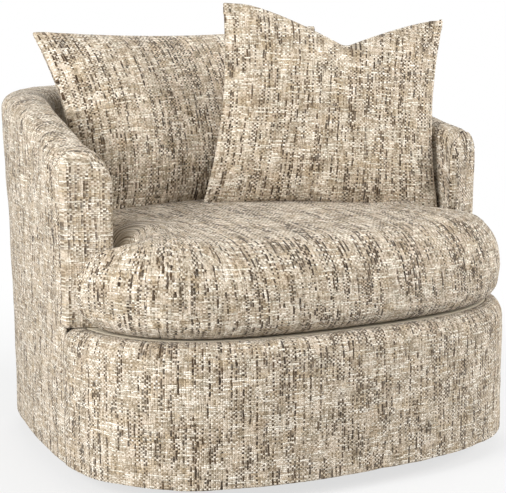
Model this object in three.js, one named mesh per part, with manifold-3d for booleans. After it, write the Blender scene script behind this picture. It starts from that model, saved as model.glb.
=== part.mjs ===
// Swivel rocker: a barrel chair whose upholstered body turns and rocks on a hidden steel base.
// Millimetres, +Z up, the front of the chair towards -Y, left and right as seen from the front.
// Each piece is one closed solid. The mechanism, with its bearing, shaft and coil springs, is the
// finest work: its pieces seat on each other from the same named sizes.

import * as THREE from "three";
import { mergeVertices } from "three/addons/utils/BufferGeometryUtils.js";
import Module from "manifold-3d";

const wasm = await Module();
wasm.setup();

// Fits
const seatGap = 0.3; // between two pieces that rest on each other
const turnGap = 0.6; // between pieces that turn against each other
const frameClearance = 0.8; // between the timber and the panels over it
const cutOver = 5; // how far a cutting body runs past the face it leaves

// Plan of the body at the hem, measured from the swivel axis
const planHalfWidth = 526; // before the narrowing towards the back
const frontReach = 493;
const backReach = 500;
const narrowingShare = 0.152; // of the width, lost over one front reach
const narrowingStartShare = 0.5; // of the front reach, ahead of the axis, where the width is full
const frontSquareness = 2.63;
const backSquareness = 4;
const backLean = 56; // the back rim stands this far behind the hem
const leanRun = 330; // the lean grows from the swivel axis to this far behind it

// Heights
const hemHeight = 38;
const borderTop = 317;
const deckTop = 320;
const deckThickness = 12;
const armRimHeight = 666;
const backRimHeight = 750;
const sweepFrontY = -200; // the rim starts to climb here
const sweepBackFromSplit = 150; // and reaches the height of the back this far ahead of the back seam

// Upholstered walls
const panelThickness = 13; // outside panel: cloth, wadding and board
const frameSpace = 32; // between the outside panel and the inside padding
const armWall = 88;
const backWall = 115;
const wallGrowFrontY = 60;
const wallGrowPastSplit = 20;
const rimShoulder = 46; // height of the rounding of the rim
const rimPad = 70; // padding over the frame's top rails
const rimRoundShare = 0.75; // power of the rim's rounding, below 1 for a squarer one
const wallSplitFromBack = 100; // the arms meet the back in a seam this far ahead of the rear reach

// Front ends of the arms
const armFrontY = -150;
const armFrontSlant = 48; // the inner edge stands this far ahead of the outer one
const armFrontThickness = 14;
const armFrontRound = 60; // rounding from the rim down to the front
const armRingShares = [0, 0.12, 0.4, 0.7]; // stations along the arm's first facet
const panelDepthShares = [0, 0.25, 0.6, 1]; // outlines from the panel's face to its back

// Timber
const boardThickness = 25;
const railThickness = 31;
const railHeight = 98;
const railBottom = 192;
const crossRailFromPost = 90; // ahead of the front face of the back posts
const crossRailHeight = 60;
const frontPostFromArmEnd = 12;
const frontPostWidth = 45;
const backPostFromSplit = 60; // front face of the back posts, ahead of the back seam
const backPostWidth = 45;
const postBottom = 66;
const hemRailBottom = 42;
const hemRailThickness = 18;
const slatThickness = 25;
const slatWidth = 70;

// Seat springing and cloth
const sinuousWire = 4;
const sinuousWidth = 44;
const sinuousLoops = 14;
const stepsPerLoop = 4;
const sinuousEndRun = 12;
const sinuousSpacing = 150;
const sinuousCount = 4;
const dustCoverThickness = 2.5;

// Loose cushions
const seatHubY = -240;
const seatInset = 10; // front edge, behind the border's face
const seatSideGap = 4;
const seatEarY = -224;
const seatEdgeHeight = 60; // of the widest line of its side above the deck
const seatSideTop = 120;
const seatCrown = 180;
const seatCrownY = -60;
const seatCrownReachX = 640;
const seatCrownReachY = 560;
const seatTuck = 12; // the underside draws in this far from the widest line
const seatFrontSteps = 11;
const seatRearSteps = 14;
const crownFallShare = 0.45; // of the crown, lost at one reach from its middle
const crownLeastShare = 0.6;
const seatBellyShares = [[0.7, 0.33], [0, 1], [0.5, 1.5]]; // of the tuck inwards, of the edge height
const seatTopShares = [0.93, 0.86, 0.74, 0.58, 0.38, 0.18];
const seatRoundShares = [0.62, 0.86, 0.97, 1, 1, 1];
const seatFlatShare = 0.5;
const backPillowWidth = 740;
const backPillowHeight = 474;
const backPillowThickness = 190;
const backPillowPull = 46;
const backPillowFromBack = 300; // its middle, ahead of the rear reach
const backPillowLeanDeg = 24.8;
const throwPillowWidth = 506;
const throwPillowHeight = 448;
const throwPillowThickness = 150;
const throwPillowPull = 24;
const throwPillowChop = 82;
const chopReachShare = 0.55; // of half the top edge
const chopPower = 1.2;
const throwPillowFromSide = 327; // its middle, inwards of the full half width
const throwPillowFromPillow = 236; // its middle, ahead of the back pillow's
const throwPillowYawDeg = -23.7;
const throwPillowLeanDeg = 9;
const throwPillowRollDeg = 3;
const pillowSeam = 4; // thickness of a pillow along its knife edge
const pillowRingShares = [0.25, 0.5, 0.7, 0.85, 0.95, 1];
const pillowFullness = 2.3; // power of the puff: higher is fuller towards the edge
const pillowEdgePower = 0.72;
const pillowSideSteps = 10;
const pillowDropFrom = 400; // height that a pillow is let down from

// Floor base
const glideHeight = 5;
const glideRadius = 18;
const ringRadius = 280;
const ringTubeRadius = 12.5;
const spiderArms = 4;
const spiderWidth = 46;
const spiderDepth = 22;
const spiderWall = 3;
const spiderClimbShares = [[0, 0], [0.2, 0.08], [0.75, 0.92], [1, 1]]; // inwards, upwards
const hubRadius = 78;
const hubThickness = 4;
const hubTop = 76;

// Ball bearing
const raceInnerRadius = 22;
const raceOuterRadius = 98;
const raceWall = 3;
const ballTrackRadius = 76;
const ballRadius = 5;
const ballCount = 10;
const ballSegments = 8;
const ballRows = 5;
const raceLipShare = 0.75; // of the track's radius, up from the race's floor
const raceFlankShare = 0.6; // of that lip
const raceFloorShare = 0.45; // of the track's radius, half the width of its floor
const cageWidth = 18;
const cageThickness = 2;
const kingBoltRadius = 9;
const kingBoltHeadRadius = 17;
const kingBoltHeadHeight = 8;

// Turning carriage
const swivelPlateWidth = 250;
const swivelPlateDepth = 270;
const plateThickness = 4;
const plateCorner = 24;
const bracketX = 105;
const bracketThickness = 5;
const bracketFootWidth = 30;
const bracketBaseDepth = 130;
const bracketTopRadius = 23;
const pivotHeight = 152;
const shaftRadius = 10;
const shaftEndOver = 8; // the shaft stands out of each bracket by this much
const shaftHeadRadius = 15;
const shaftHeadThickness = 4;

// Rocking plate
const earX = 90;
const earThickness = 5;
const earDepth = 60;
const bushWall = 3;
const bushFlangeRadius = 19;
const tiltPlateWidth = 260;
const tiltPlateDepth = 280;
const boltRadius = 4;
const boltHeadRadius = 9;
const boltHeadHeight = 4;

// Coil springs
const springX = 52;
const springY = 108;
const springRadius = 19;
const springWire = 6;
const springCurls = 5;
const stepsPerCurl = 8;
const springTrayDepth = 54;
const springTrayThickness = 3;
const spigotRadius = 13;
const spigotHeight = 12;
const springSelfGap = 0.4; // least clear gap between two curls

// Facets
const roundSides = 36;
const holeSides = 16;
const ringSides = 40;
const rimSteps = 8;
const boltSides = 12;
const cornerSteps = 3;
const eyeSteps = 10;
const wireSides = 5;
const flatWireSides = 4;
const planFacets = 72;
const facetMargin = 0.12; // no facet narrower than this share of one

// Places worked out from the sizes above
const wallSplitY = backReach - wallSplitFromBack;
const sweepBackY = wallSplitY - sweepBackFromSplit;
const wallGrowBackY = wallSplitY + wallGrowPastSplit;
const backPostFrontY = wallSplitY - backPostFromSplit;
const crossRailY = backPostFrontY - crossRailFromPost;
const backPillowY = backReach - backPillowFromBack;
const throwPillowX = planHalfWidth - throwPillowFromSide;
const throwPillowY = backPillowY - throwPillowFromPillow;
const frameInset = panelThickness + frameClearance;
const frameInner = frameInset + boardThickness;
const railInner = frameInset + railThickness;
const paddingInset = panelThickness + frameSpace;
const railTop = railBottom + railHeight;
const ringHeight = glideHeight + seatGap + ringTubeRadius;
const lowerRaceBottom = hubTop + seatGap;
const ballHeight = lowerRaceBottom + raceWall + ballRadius + turnGap;
const upperRaceTop = 2 * ballHeight - lowerRaceBottom;
const swivelPlateBottom = upperRaceTop + seatGap;
const swivelPlateTop = swivelPlateBottom + plateThickness;
const trayTop = swivelPlateTop + seatGap + springTrayThickness;
const tiltPlateTop = railBottom - seatGap;
const tiltPlateBottom = tiltPlateTop - plateThickness;
const bushBore = shaftRadius + turnGap;
const bushOuter = bushBore + bushWall;

const steelGrey = { color: 0x5b5d60, roughness: 0.45, metalness: 0.85 };
const springSteel = { color: 0x777a7c, roughness: 0.35, metalness: 0.9 };
const darkSteel = { color: 0x26272a, roughness: 0.55, metalness: 0.6 };
const nylon = { color: 0xd9d6cd, roughness: 0.5, metalness: 0 };
const timber = { color: 0xc79f6b, roughness: 0.75, metalness: 0 };
const tweed = { color: 0xc9b79c, roughness: 0.95, metalness: 0 };
const cambric = { color: 0x1c1c1d, roughness: 0.95, metalness: 0 };
const whiteFelt = { color: 0xe6e2d8, roughness: 0.95, metalness: 0 };

// The swivel axis is the origin of all places below. The group is shifted at the end.
const chair = new THREE.Group();

// Adds a piece under its name with a material of its own.
function place(name, geometry, finish, parent = chair) {
  const mesh = new THREE.Mesh(geometry, new THREE.MeshStandardMaterial(finish));
  mesh.name = name;
  parent.add(mesh);
  return mesh;
}

// Mesh building

// Makes an indexed geometry and turns its faces outwards.
function closedGeometry(points, faces) {
  let volume = 0;
  for (const [a, b, c] of faces) {
    volume += points[a].dot(new THREE.Vector3().crossVectors(points[b], points[c]));
  }
  const index = faces.flatMap(([a, b, c]) => (volume < 0 ? [a, c, b] : [a, b, c]));
  const geometry = new THREE.BufferGeometry();
  geometry.setAttribute(
    "position",
    new THREE.Float32BufferAttribute(points.flatMap((p) => [p.x, p.y, p.z]), 3),
  );
  geometry.setIndex(index);
  return geometry;
}

// Joins a row of closed rings of points. The ends are capped by the outline given for a cap.
function loft(rings, capOutline) {
  const count = rings[0].length;
  const points = rings.flat();
  const faces = [];
  for (let i = 0; i + 1 < rings.length; i += 1) {
    for (let j = 0; j < count; j += 1) {
      const a = i * count + j;
      const b = i * count + ((j + 1) % count);
      faces.push([a, b, b + count], [a, b + count, a + count]);
    }
  }
  const last = (rings.length - 1) * count;
  for (const [a, b, c] of THREE.ShapeUtils.triangulateShape(capOutline, [])) {
    faces.push([a, c, b], [last + a, last + b, last + c]);
  }
  return orientCaps(points, faces, capOutline);
}

// A cap outline that runs the other way round needs its caps turned.
function orientCaps(points, faces, capOutline) {
  const sideCount = faces.length - 2 * (capOutline.length - 2);
  const edges = new Set();
  for (const [a, b, c] of faces.slice(0, sideCount)) {
    edges.add(`${a},${b}`).add(`${b},${c}`).add(`${c},${a}`);
  }
  const turned = faces
    .slice(sideCount)
    .some(([a, b, c]) => edges.has(`${a},${b}`) || edges.has(`${b},${c}`) || edges.has(`${c},${a}`));
  const caps = faces.slice(sideCount).map(([a, b, c]) => (turned ? [a, c, b] : [a, b, c]));
  return closedGeometry(points, [...faces.slice(0, sideCount), ...caps]);
}

// Joins rings that close on one point at each end.
function poleLoft(rings, startPole, endPole) {
  const count = rings[0].length;
  const points = [...rings.flat(), startPole, endPole];
  const start = points.length - 2;
  const end = points.length - 1;
  const faces = [];
  for (let i = 0; i + 1 < rings.length; i += 1) {
    for (let j = 0; j < count; j += 1) {
      const a = i * count + j;
      const b = i * count + ((j + 1) % count);
      faces.push([a, b, b + count], [a, b + count, a + count]);
    }
  }
  const last = (rings.length - 1) * count;
  for (let j = 0; j < count; j += 1) {
    const next = (j + 1) % count;
    faces.push([start, next, j], [end, last + j, last + next]);
  }
  return closedGeometry(points, faces);
}

function solid(geometry) {
  const bare = geometry.clone();
  bare.deleteAttribute("normal");
  bare.deleteAttribute("uv");
  const merged = mergeVertices(bare);
  return new wasm.Manifold(
    new wasm.Mesh({
      numProp: 3,
      vertProperties: new Float32Array(merged.attributes.position.array),
      triVerts: new Uint32Array(merged.index.array),
    }),
  );
}

function geometryOf(body) {
  const mesh = body.getMesh();
  const geometry = new THREE.BufferGeometry();
  geometry.setAttribute("position", new THREE.Float32BufferAttribute(mesh.vertProperties, 3));
  geometry.setIndex(Array.from(mesh.triVerts));
  return geometry;
}

// Joins the first list of geometries and cuts the second list out.
function carve(joined, cuts = []) {
  let body = joined.map(solid).reduce((a, b) => a.add(b));
  for (const cut of cuts) {
    body = body.subtract(solid(cut));
  }
  return geometryOf(body);
}

function box(width, depth, height, x, y, bottom) {
  return new THREE.BoxGeometry(width, depth, height).translate(x, y, bottom + height / 2);
}

// A cylinder along Z from a bottom to a top height.
function post(radius, bottom, top, x = 0, y = 0, sides = roundSides) {
  return new THREE.CylinderGeometry(radius, radius, top - bottom, sides)
    .rotateX(Math.PI / 2)
    .translate(x, y, (bottom + top) / 2);
}

// A cylinder along X.
function crossPin(radius, fromX, toX, y, z, sides = holeSides) {
  return new THREE.CylinderGeometry(radius, radius, toX - fromX, sides)
    .rotateZ(Math.PI / 2)
    .translate((fromX + toX) / 2, y, z);
}

// A round piece about the swivel axis, from a closed profile of radius and height.
function turned(profile, sides = roundSides) {
  const closed = [...profile, profile[0]].map(([r, z]) => new THREE.Vector2(r, z));
  if (THREE.ShapeUtils.area(closed) < 0) {
    closed.reverse();
  }
  return new THREE.LatheGeometry(closed, sides).rotateX(Math.PI / 2);
}

// A plate with round corners, lying flat.
function roundedPlate(width, depth, bottom) {
  const shape = new THREE.Shape();
  const x = width / 2 - plateCorner;
  const y = depth / 2 - plateCorner;
  shape.absarc(x, y, plateCorner, 0, Math.PI / 2, false);
  shape.absarc(-x, y, plateCorner, Math.PI / 2, Math.PI, false);
  shape.absarc(-x, -y, plateCorner, Math.PI, 1.5 * Math.PI, false);
  shape.absarc(x, -y, plateCorner, 1.5 * Math.PI, 2 * Math.PI, false);
  return extruded(shape, plateThickness, cornerSteps).translate(0, 0, bottom);
}

function extruded(shape, depth, curveSegments) {
  return new THREE.ExtrudeGeometry(shape, { depth, bevelEnabled: false, curveSegments });
}

// The plan of the body: a squared oval that narrows towards the back

// Polar angles run from the right side (0) to the back (a quarter turn).
function planOutline(angle) {
  const c = Math.cos(angle);
  const s = Math.sin(angle);
  const power = s < 0 ? frontSquareness : backSquareness;
  const reach = s < 0 ? frontReach : backReach;
  const size = (Math.abs(c / planHalfWidth) ** power + Math.abs(s / reach) ** power) ** (-1 / power);
  const y = size * s;
  return new THREE.Vector2(size * c * (1 - narrowingShare * (y / frontReach + narrowingStartShare)), y);
}

function curvePoint(angle, inset) {
  const step = 1e-3;
  const along = planOutline(angle + step).sub(planOutline(angle - step)).normalize();
  return planOutline(angle).add(new THREE.Vector2(-along.y, along.x).multiplyScalar(inset));
}

// The plan is cut into flat facets, the same for every piece that follows it.
const facetTurn = (2 * Math.PI) / planFacets;

function betweenFacetEdges(angle, pointAt) {
  const facet = Math.floor(angle / facetTurn);
  const start = pointAt(facet * facetTurn);
  return start.lerp(pointAt((facet + 1) * facetTurn), angle / facetTurn - facet);
}

const planPoint = (angle, inset) => betweenFacetEdges(angle, (edge) => curvePoint(edge, inset));

// Angles from one end to the other with every facet's edge between them.
function facetAngles(from, to) {
  const angles = [from];
  const first = Math.floor(from / facetTurn + facetMargin) + 1;
  for (let facet = first; facet * facetTurn < to - facetMargin * facetTurn; facet += 1) {
    angles.push(facet * facetTurn);
  }
  angles.push(to);
  return angles;
}

// A point of the body's wall at a height, with the lean of the back.
function wallPoint(angle, inset, height) {
  const climb = (height - hemHeight) / (backRimHeight - hemHeight);
  return betweenFacetEdges(angle, (edge) => {
    const p = curvePoint(edge, inset);
    const ramp = Math.sin((THREE.MathUtils.clamp(p.y / leanRun, 0, 1) * Math.PI) / 2);
    return new THREE.Vector3(p.x, p.y + backLean * climb * ramp, height);
  });
}

// The polar angle on the right side at which the wall's inset line crosses a given y.
function angleAtY(y, inset) {
  let low = -Math.PI / 2;
  let high = Math.PI / 2;
  for (let i = 0; i < 40; i += 1) {
    const middle = (low + high) / 2;
    if (planPoint(middle, inset).y < y) {
      low = middle;
    } else {
      high = middle;
    }
  }
  return (low + high) / 2;
}

const smooth = (share) => THREE.MathUtils.smoothstep(share, 0, 1);
const mix = THREE.MathUtils.lerp;

function rimHeight(y) {
  const share = (y - sweepFrontY) / (sweepBackY - sweepFrontY);
  return mix(armRimHeight, backRimHeight, smooth(share));
}

function wallThickness(y) {
  const share = (y - wallGrowFrontY) / (wallGrowBackY - wallGrowFrontY);
  return mix(armWall, backWall, smooth(share));
}

// How much the rim has dropped towards the front end of the arm, at a distance behind that end.
function frontDrop(distance) {
  const rest = Math.max(armFrontRound - Math.max(distance, 0), 0);
  return armFrontRound - Math.sqrt(armFrontRound ** 2 - rest ** 2);
}

// The rounded rim from the outer face over to the inner face, as [inset, height].
function rimArc(thickness, top, steps) {
  const half = thickness / 2;
  return Array.from({ length: steps + 1 }, (_, j) => {
    const turn = (Math.PI * j) / steps;
    const c = Math.cos(turn);
    const across = Math.sign(c) * Math.abs(c) ** rimRoundShare;
    const up = Math.max(Math.sin(turn), 0) ** rimRoundShare;
    return [half * (1 - across), top - rimShoulder * (1 - up)];
  });
}

// The section of an upholstered wall: an upside-down U over the frame.
function wallSection(y, drop) {
  const thickness = wallThickness(y);
  const top = rimHeight(y) - drop;
  const ceiling = rimHeight(y) - rimPad;
  return [
    [0, hemHeight],
    ...rimArc(thickness, top, rimSteps),
    [thickness, deckTop + seatGap],
    [paddingInset, deckTop + seatGap],
    [paddingInset, ceiling],
    [panelThickness, ceiling],
    [panelThickness, hemHeight],
  ];
}

const asOutline = (section) => section.map(([inset, height]) => new THREE.Vector2(inset, height));

// Upholstered walls

function armUpholstery(side) {
  const frontAngle = (inset) => angleAtY(armFrontY - (armFrontSlant * inset) / armWall, inset);
  const [start, next, ...rest] = facetAngles(frontAngle(0), angleAtY(wallSplitY, 0));
  const rings = [];
  const addRing = (angleOf) => {
    const y = planPoint(angleOf(0), 0).y;
    const drop = frontDrop(y - armFrontY + armFrontThickness);
    rings.push(
      wallSection(y, drop).map(([inset, height]) => {
        const p = wallPoint(angleOf(inset), inset, height);
        return new THREE.Vector3(side * p.x, p.y, p.z);
      }),
    );
  };
  for (const share of armRingShares) {
    addRing((inset) => mix(frontAngle(inset), next + (start - frontAngle(0)), share));
  }
  for (const angle of [next, ...rest]) {
    addRing(() => angle);
  }
  return loft(rings, asOutline(wallSection(armFrontY, frontDrop(armFrontThickness))));
}

function backUpholstery() {
  const spare = seatGap / planOutline(angleAtY(wallSplitY, 0)).length();
  const start = angleAtY(wallSplitY, 0) + spare;
  const rings = facetAngles(start, Math.PI - start).map((angle) => {
    const y = planPoint(angle, 0).y;
    return wallSection(y, 0).map(([inset, height]) => wallPoint(angle, inset, height));
  });
  return loft(rings, asOutline(wallSection(wallSplitY, 0)));
}

// The padded front of an arm: outlines that round over towards its front face.
function armFrontPanel(side) {
  const drawIn = armFrontThickness / 3;
  const rings = panelDepthShares.map((depthShare) => {
    const distance = mix(armFrontThickness, 2 * seatGap, depthShare);
    const edge = drawIn * (1 - depthShare) ** 2;
    const width = armWall - 2 * edge;
    const top = rimHeight(armFrontY) - frontDrop(armFrontThickness - distance) - edge;
    const foot = deckTop + seatGap;
    const outline = [...rimArc(width, top, rimSteps), [width, foot], [0, foot]];
    return outline.map(([across, height]) => {
      const inset = across + edge;
      const y = armFrontY - (armFrontSlant * inset) / armWall;
      const p = wallPoint(angleAtY(y, inset), inset, height);
      return new THREE.Vector3(side * p.x, p.y - distance, p.z);
    });
  });
  const flat = [...rimArc(armWall, armRimHeight, rimSteps), [armWall, deckTop], [0, deckTop]];
  return loft(rings, asOutline(flat));
}

// A band that follows the plan from one angle to another. Its ends may slant across the inset.
// The section is worked out for each station's y.
function planBand(fromAngle, toAngle, sectionAt, side = 1) {
  const insets = sectionAt(0).map(([inset]) => inset);
  const latestStart = Math.max(...insets.map(fromAngle));
  const earliestEnd = Math.min(...insets.map(toAngle));
  const middle = facetAngles(latestStart, earliestEnd).slice(1, -1);
  const stations = [fromAngle, ...middle.map((angle) => () => angle), toAngle];
  const rings = stations.map((angleOf) => {
    const y = planPoint(angleOf(0), 0).y;
    return sectionAt(y).map(([inset, height]) => {
      const p = wallPoint(angleOf(inset), inset, height);
      return new THREE.Vector3(side * p.x, p.y, p.z);
    });
  });
  return loft(rings, asOutline(sectionAt(planPoint(fromAngle(0), 0).y)));
}

const boardSection = (outer, inner, bottom, top) => [
  [outer, bottom],
  [outer, top],
  [inner, top],
  [inner, bottom],
];

// The front border runs from one arm's seam round the front to the other.
function frontBorder() {
  const edge = panelThickness / 3;
  const section = [
    [0, hemHeight],
    [0, borderTop - edge],
    [edge, borderTop],
    [panelThickness, borderTop],
    [panelThickness, hemHeight],
  ];
  const seamY = armFrontY - seatGap;
  const right = (inset) => angleAtY(seamY - (armFrontSlant * inset) / armWall, inset);
  return planBand((inset) => -Math.PI - right(inset), right, () => section);
}

// Timber frame

// A board along one side of the plan between two y values.
function sideBoard(side, fromY, toY, outer, inner, bottomAt, topAt) {
  return planBand(
    (inset) => angleAtY(fromY, inset),
    (inset) => angleAtY(toY, inset),
    (y) => boardSection(outer, inner, bottomAt(y), topAt(y)),
    side,
  );
}

// A board that follows the plan round the back or the front, between equal y values on both sides.
function roundBoard(y, roundBack, outer, inner, bottom, top) {
  const right = (inset) => angleAtY(y, inset);
  const left = (inset) => (roundBack ? Math.PI : -Math.PI) - right(inset);
  const section = () => boardSection(outer, inner, bottom, top);
  return roundBack ? planBand(right, left, section) : planBand(left, right, section);
}

const frontPostY = armFrontY + frontPostFromArmEnd;
const frontPostBackY = frontPostY + frontPostWidth;
const backPostBackY = backPostFrontY + backPostWidth;
const railUnderRim = (y) => rimHeight(y) - rimPad - seatGap;

function addTimber() {
  const flat = (height) => () => height;
  for (const [name, side] of [["left", -1], ["right", 1]]) {
    const armRailBottom = (y) => railUnderRim(y) - boardThickness;
    const postTop = (y) => armRailBottom(y) - seatGap;
    place(
      `${name}_front_post`,
      sideBoard(side, frontPostY, frontPostBackY, frameInset, frameInner, flat(postBottom), postTop),
      timber,
    );
    place(
      `${name}_back_post`,
      sideBoard(side, backPostFrontY, backPostBackY, frameInset, frameInner, flat(postBottom), postTop),
      timber,
    );
    place(
      `${name}_arm_rail`,
      sideBoard(side, frontPostY, backPostBackY, frameInset, frameInner, armRailBottom, railUnderRim),
      timber,
    );
    place(
      `${name}_seat_rail`,
      sideBoard(
        side,
        frontPostBackY + seatGap,
        backPostFrontY - seatGap,
        frameInset,
        railInner,
        flat(railBottom),
        flat(railTop),
      ),
      timber,
    );
  }
  const backY = backPostBackY + seatGap;
  const frontY = frontPostY - seatGap;
  place("front_seat_rail", roundBoard(frontY, false, frameInset, railInner, railBottom, railTop), timber);
  place("back_seat_rail", roundBoard(backY, true, frameInset, railInner, railBottom, railTop), timber);
  const topRailTop = railUnderRim(backY);
  const topRailBottom = topRailTop - boardThickness;
  place(
    "back_top_rail",
    roundBoard(backY, true, frameInset, frameInner, topRailBottom, topRailTop),
    timber,
  );
  const hemInner = frameInset + hemRailThickness;
  const hemTop = postBottom - seatGap;
  place("front_hem_rail", roundBoard(frontY, false, frameInset, hemInner, hemRailBottom, hemTop), timber);
  place("rear_hem_rail", roundBoard(frontPostY, true, frameInset, hemInner, hemRailBottom, hemTop), timber);
  place("cross_rail", crossRail(), timber);
  place("front_slat", mountingSlat(-springY), timber);
  place("rear_slat", mountingSlat(springY), timber);
}

// Half the clear width between the side rails over a stretch of y.
function clearHalfWidth(fromY, toY) {
  const at = (y) => planPoint(angleAtY(y, railInner), railInner).x;
  return Math.min(at(fromY), at(toY)) - seatGap;
}

function crossRail() {
  const halfDepth = boardThickness / 2;
  const width = 2 * clearHalfWidth(crossRailY - halfDepth, crossRailY + halfDepth);
  return box(width, boardThickness, crossRailHeight, 0, crossRailY, railTop - crossRailHeight);
}

function boltHole(bottom, top, x, y) {
  return post(boltRadius + turnGap, bottom - cutOver, top + cutOver, x, y, holeSides);
}

function mountingSlat(y) {
  const halfDepth = slatWidth / 2;
  const width = 2 * clearHalfWidth(y - halfDepth, y + halfDepth);
  const holes = [-springX, springX].map((x) => boltHole(railBottom, railBottom + slatThickness, x, y));
  return carve([box(width, slatWidth, slatThickness, 0, y, railBottom)], holes);
}

// Seat springing and cloth

// The y at which an inset line of the front crosses a given x.
function frontYAtX(x, inset) {
  let low = -Math.PI / 2;
  let high = 0;
  for (let i = 0; i < 40; i += 1) {
    const middle = (low + high) / 2;
    if (planPoint(middle, inset).x < x) {
      low = middle;
    } else {
      high = middle;
    }
  }
  return planPoint(low, inset).y;
}

// A flat zigzag spring wire from the front rail to the cross rail, bowed up in the middle.
function sinuousSpring(x) {
  const rest = railTop + seatGap + sinuousWire / 2;
  const rise = deckTop - deckThickness - seatGap - sinuousWire / 2 - rest;
  const startY = frontYAtX(Math.abs(x), (frameInset + railInner) / 2);
  const endY = crossRailY;
  const loopStart = startY + sinuousEndRun;
  const run = endY - sinuousEndRun - loopStart;
  const height = (y) => rest + rise * Math.sin((Math.PI * (y - startY)) / (endY - startY));
  const steps = sinuousLoops * stepsPerLoop;
  const path = [new THREE.Vector3(x, startY, rest)];
  for (let i = 0; i <= steps; i += 1) {
    const turn = (Math.PI * sinuousLoops * i) / steps;
    const y = loopStart + (run * i) / steps;
    const across = (sinuousWidth / 2) * Math.sin(turn);
    path.push(new THREE.Vector3(x + across, y, height(y)));
  }
  path.push(new THREE.Vector3(x, endY, rest));
  return wireAlong(path, sinuousWire / 2, flatWireSides);
}

function roundOutline(sides) {
  return Array.from({ length: sides }, (_, k) => {
    const turn = (2 * Math.PI * k) / sides;
    return new THREE.Vector2(Math.cos(turn), Math.sin(turn));
  });
}

// A round wire through points: each ring lies square to the line between its neighbours.
function wireAlong(path, radius, sides) {
  const up = new THREE.Vector3(0, 0, 1);
  const outline = roundOutline(sides);
  const rings = path.map((p, i) => {
    const ahead = path[Math.min(i + 1, path.length - 1)];
    const behind = path[Math.max(i - 1, 0)];
    const along = ahead.clone().sub(behind).normalize();
    const across = new THREE.Vector3().crossVectors(along, up).normalize();
    const over = new THREE.Vector3().crossVectors(across, along);
    return outline.map((o) =>
      p.clone().addScaledVector(across, radius * o.x).addScaledVector(over, radius * o.y),
    );
  });
  return loft(rings, outline);
}

function deckPad() {
  const points = [];
  for (let i = 0; i < planFacets; i += 1) {
    const angle = i * facetTurn;
    const front = planPoint(angle, frameInset).y < frontPostY - frontPostWidth;
    points.push(planPoint(angle, front ? frameInset : paddingInset));
  }
  const pad = extruded(new THREE.Shape(points), deckThickness, cornerSteps);
  return pad.translate(0, 0, deckTop - deckThickness);
}

// Cloth stapled under the rails and slats, half of the underside, cut out round the tilt plate.
function dustCover(front) {
  const side = front ? -1 : 1;
  const edgeInset = frameInner + seatGap;
  const middleY = (side * seatGap) / 2;
  const start = angleAtY(middleY, edgeInset);
  const from = front ? -Math.PI - start : start;
  const to = front ? start : Math.PI - start;
  const points = facetAngles(from, to).map((angle) => planPoint(angle, edgeInset));
  const cutX = -side * (tiltPlateWidth / 2 + seatGap);
  const cutY = side * (tiltPlateDepth / 2 + seatGap);
  for (const [x, y] of [[cutX, middleY], [cutX, cutY], [-cutX, cutY], [-cutX, middleY]]) {
    points.push(new THREE.Vector2(x, y));
  }
  const cover = extruded(new THREE.Shape(points), dustCoverThickness, cornerSteps);
  return cover.translate(0, 0, railBottom - seatGap - dustCoverThickness);
}

// Loose cushions

// The right half of the seat cushion's outline, from the middle of the front to the middle of the back.
function seatHalfOutline() {
  const points = [];
  const earAngle = angleAtY(seatEarY, seatInset);
  for (let i = 0; i <= seatFrontSteps; i += 1) {
    points.push(planPoint(mix(-Math.PI / 2, earAngle, i / seatFrontSteps), seatInset));
  }
  const innerInset = armWall + seatSideGap;
  const innerX = planPoint(angleAtY(seatEarY, innerInset), innerInset).x;
  const outer = points[points.length - 1];
  points.push(new THREE.Vector2((outer.x + innerX) / 2, seatEarY));
  const innerAngle = angleAtY(seatEarY, innerInset);
  for (let i = 0; i <= seatRearSteps; i += 1) {
    const angle = mix(innerAngle, Math.PI / 2, i / seatRearSteps);
    const inset = wallThickness(planPoint(angle, 0).y) + seatSideGap;
    points.push(planPoint(angle, inset));
  }
  return points;
}

// Height of the crowned top of the seat cushion over the deck.
function seatTopAt(x, y) {
  const fall = (x / seatCrownReachX) ** 2 + ((y - seatCrownY) / seatCrownReachY) ** 2;
  return seatCrown * Math.max(1 - crownFallShare * fall, crownLeastShare);
}

function seatCushion() {
  const half = seatHalfOutline();
  const mirrored = half.slice(1, -1).map((p) => new THREE.Vector2(-p.x, p.y));
  const outline = [...half, ...mirrored.reverse()];
  const hub = new THREE.Vector2(0, seatHubY);
  const reach = frontReach + seatHubY;
  const bottom = deckTop + seatGap;
  const ring = (share, heightOver) =>
    outline.map((p) => {
      const q = p.clone().lerp(hub, 1 - share);
      return new THREE.Vector3(q.x, q.y, bottom + heightOver(q));
    });
  const rings = [ring(seatFlatShare, () => 0), ring(1 - seatTuck / reach, () => 0)];
  for (const [tuckShare, heightShare] of seatBellyShares) {
    rings.push(ring(1 - (tuckShare * seatTuck) / reach, () => heightShare * seatEdgeHeight));
  }
  seatTopShares.forEach((share, i) => {
    const roundOver = (q) => mix(seatSideTop - seatTuck, seatTopAt(q.x, q.y), seatRoundShares[i]);
    rings.push(ring(share, roundOver));
  });
  const top = new THREE.Vector3(hub.x, hub.y, bottom + seatTopAt(hub.x, hub.y));
  return poleLoft(rings, new THREE.Vector3(hub.x, hub.y, bottom), top);
}

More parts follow.
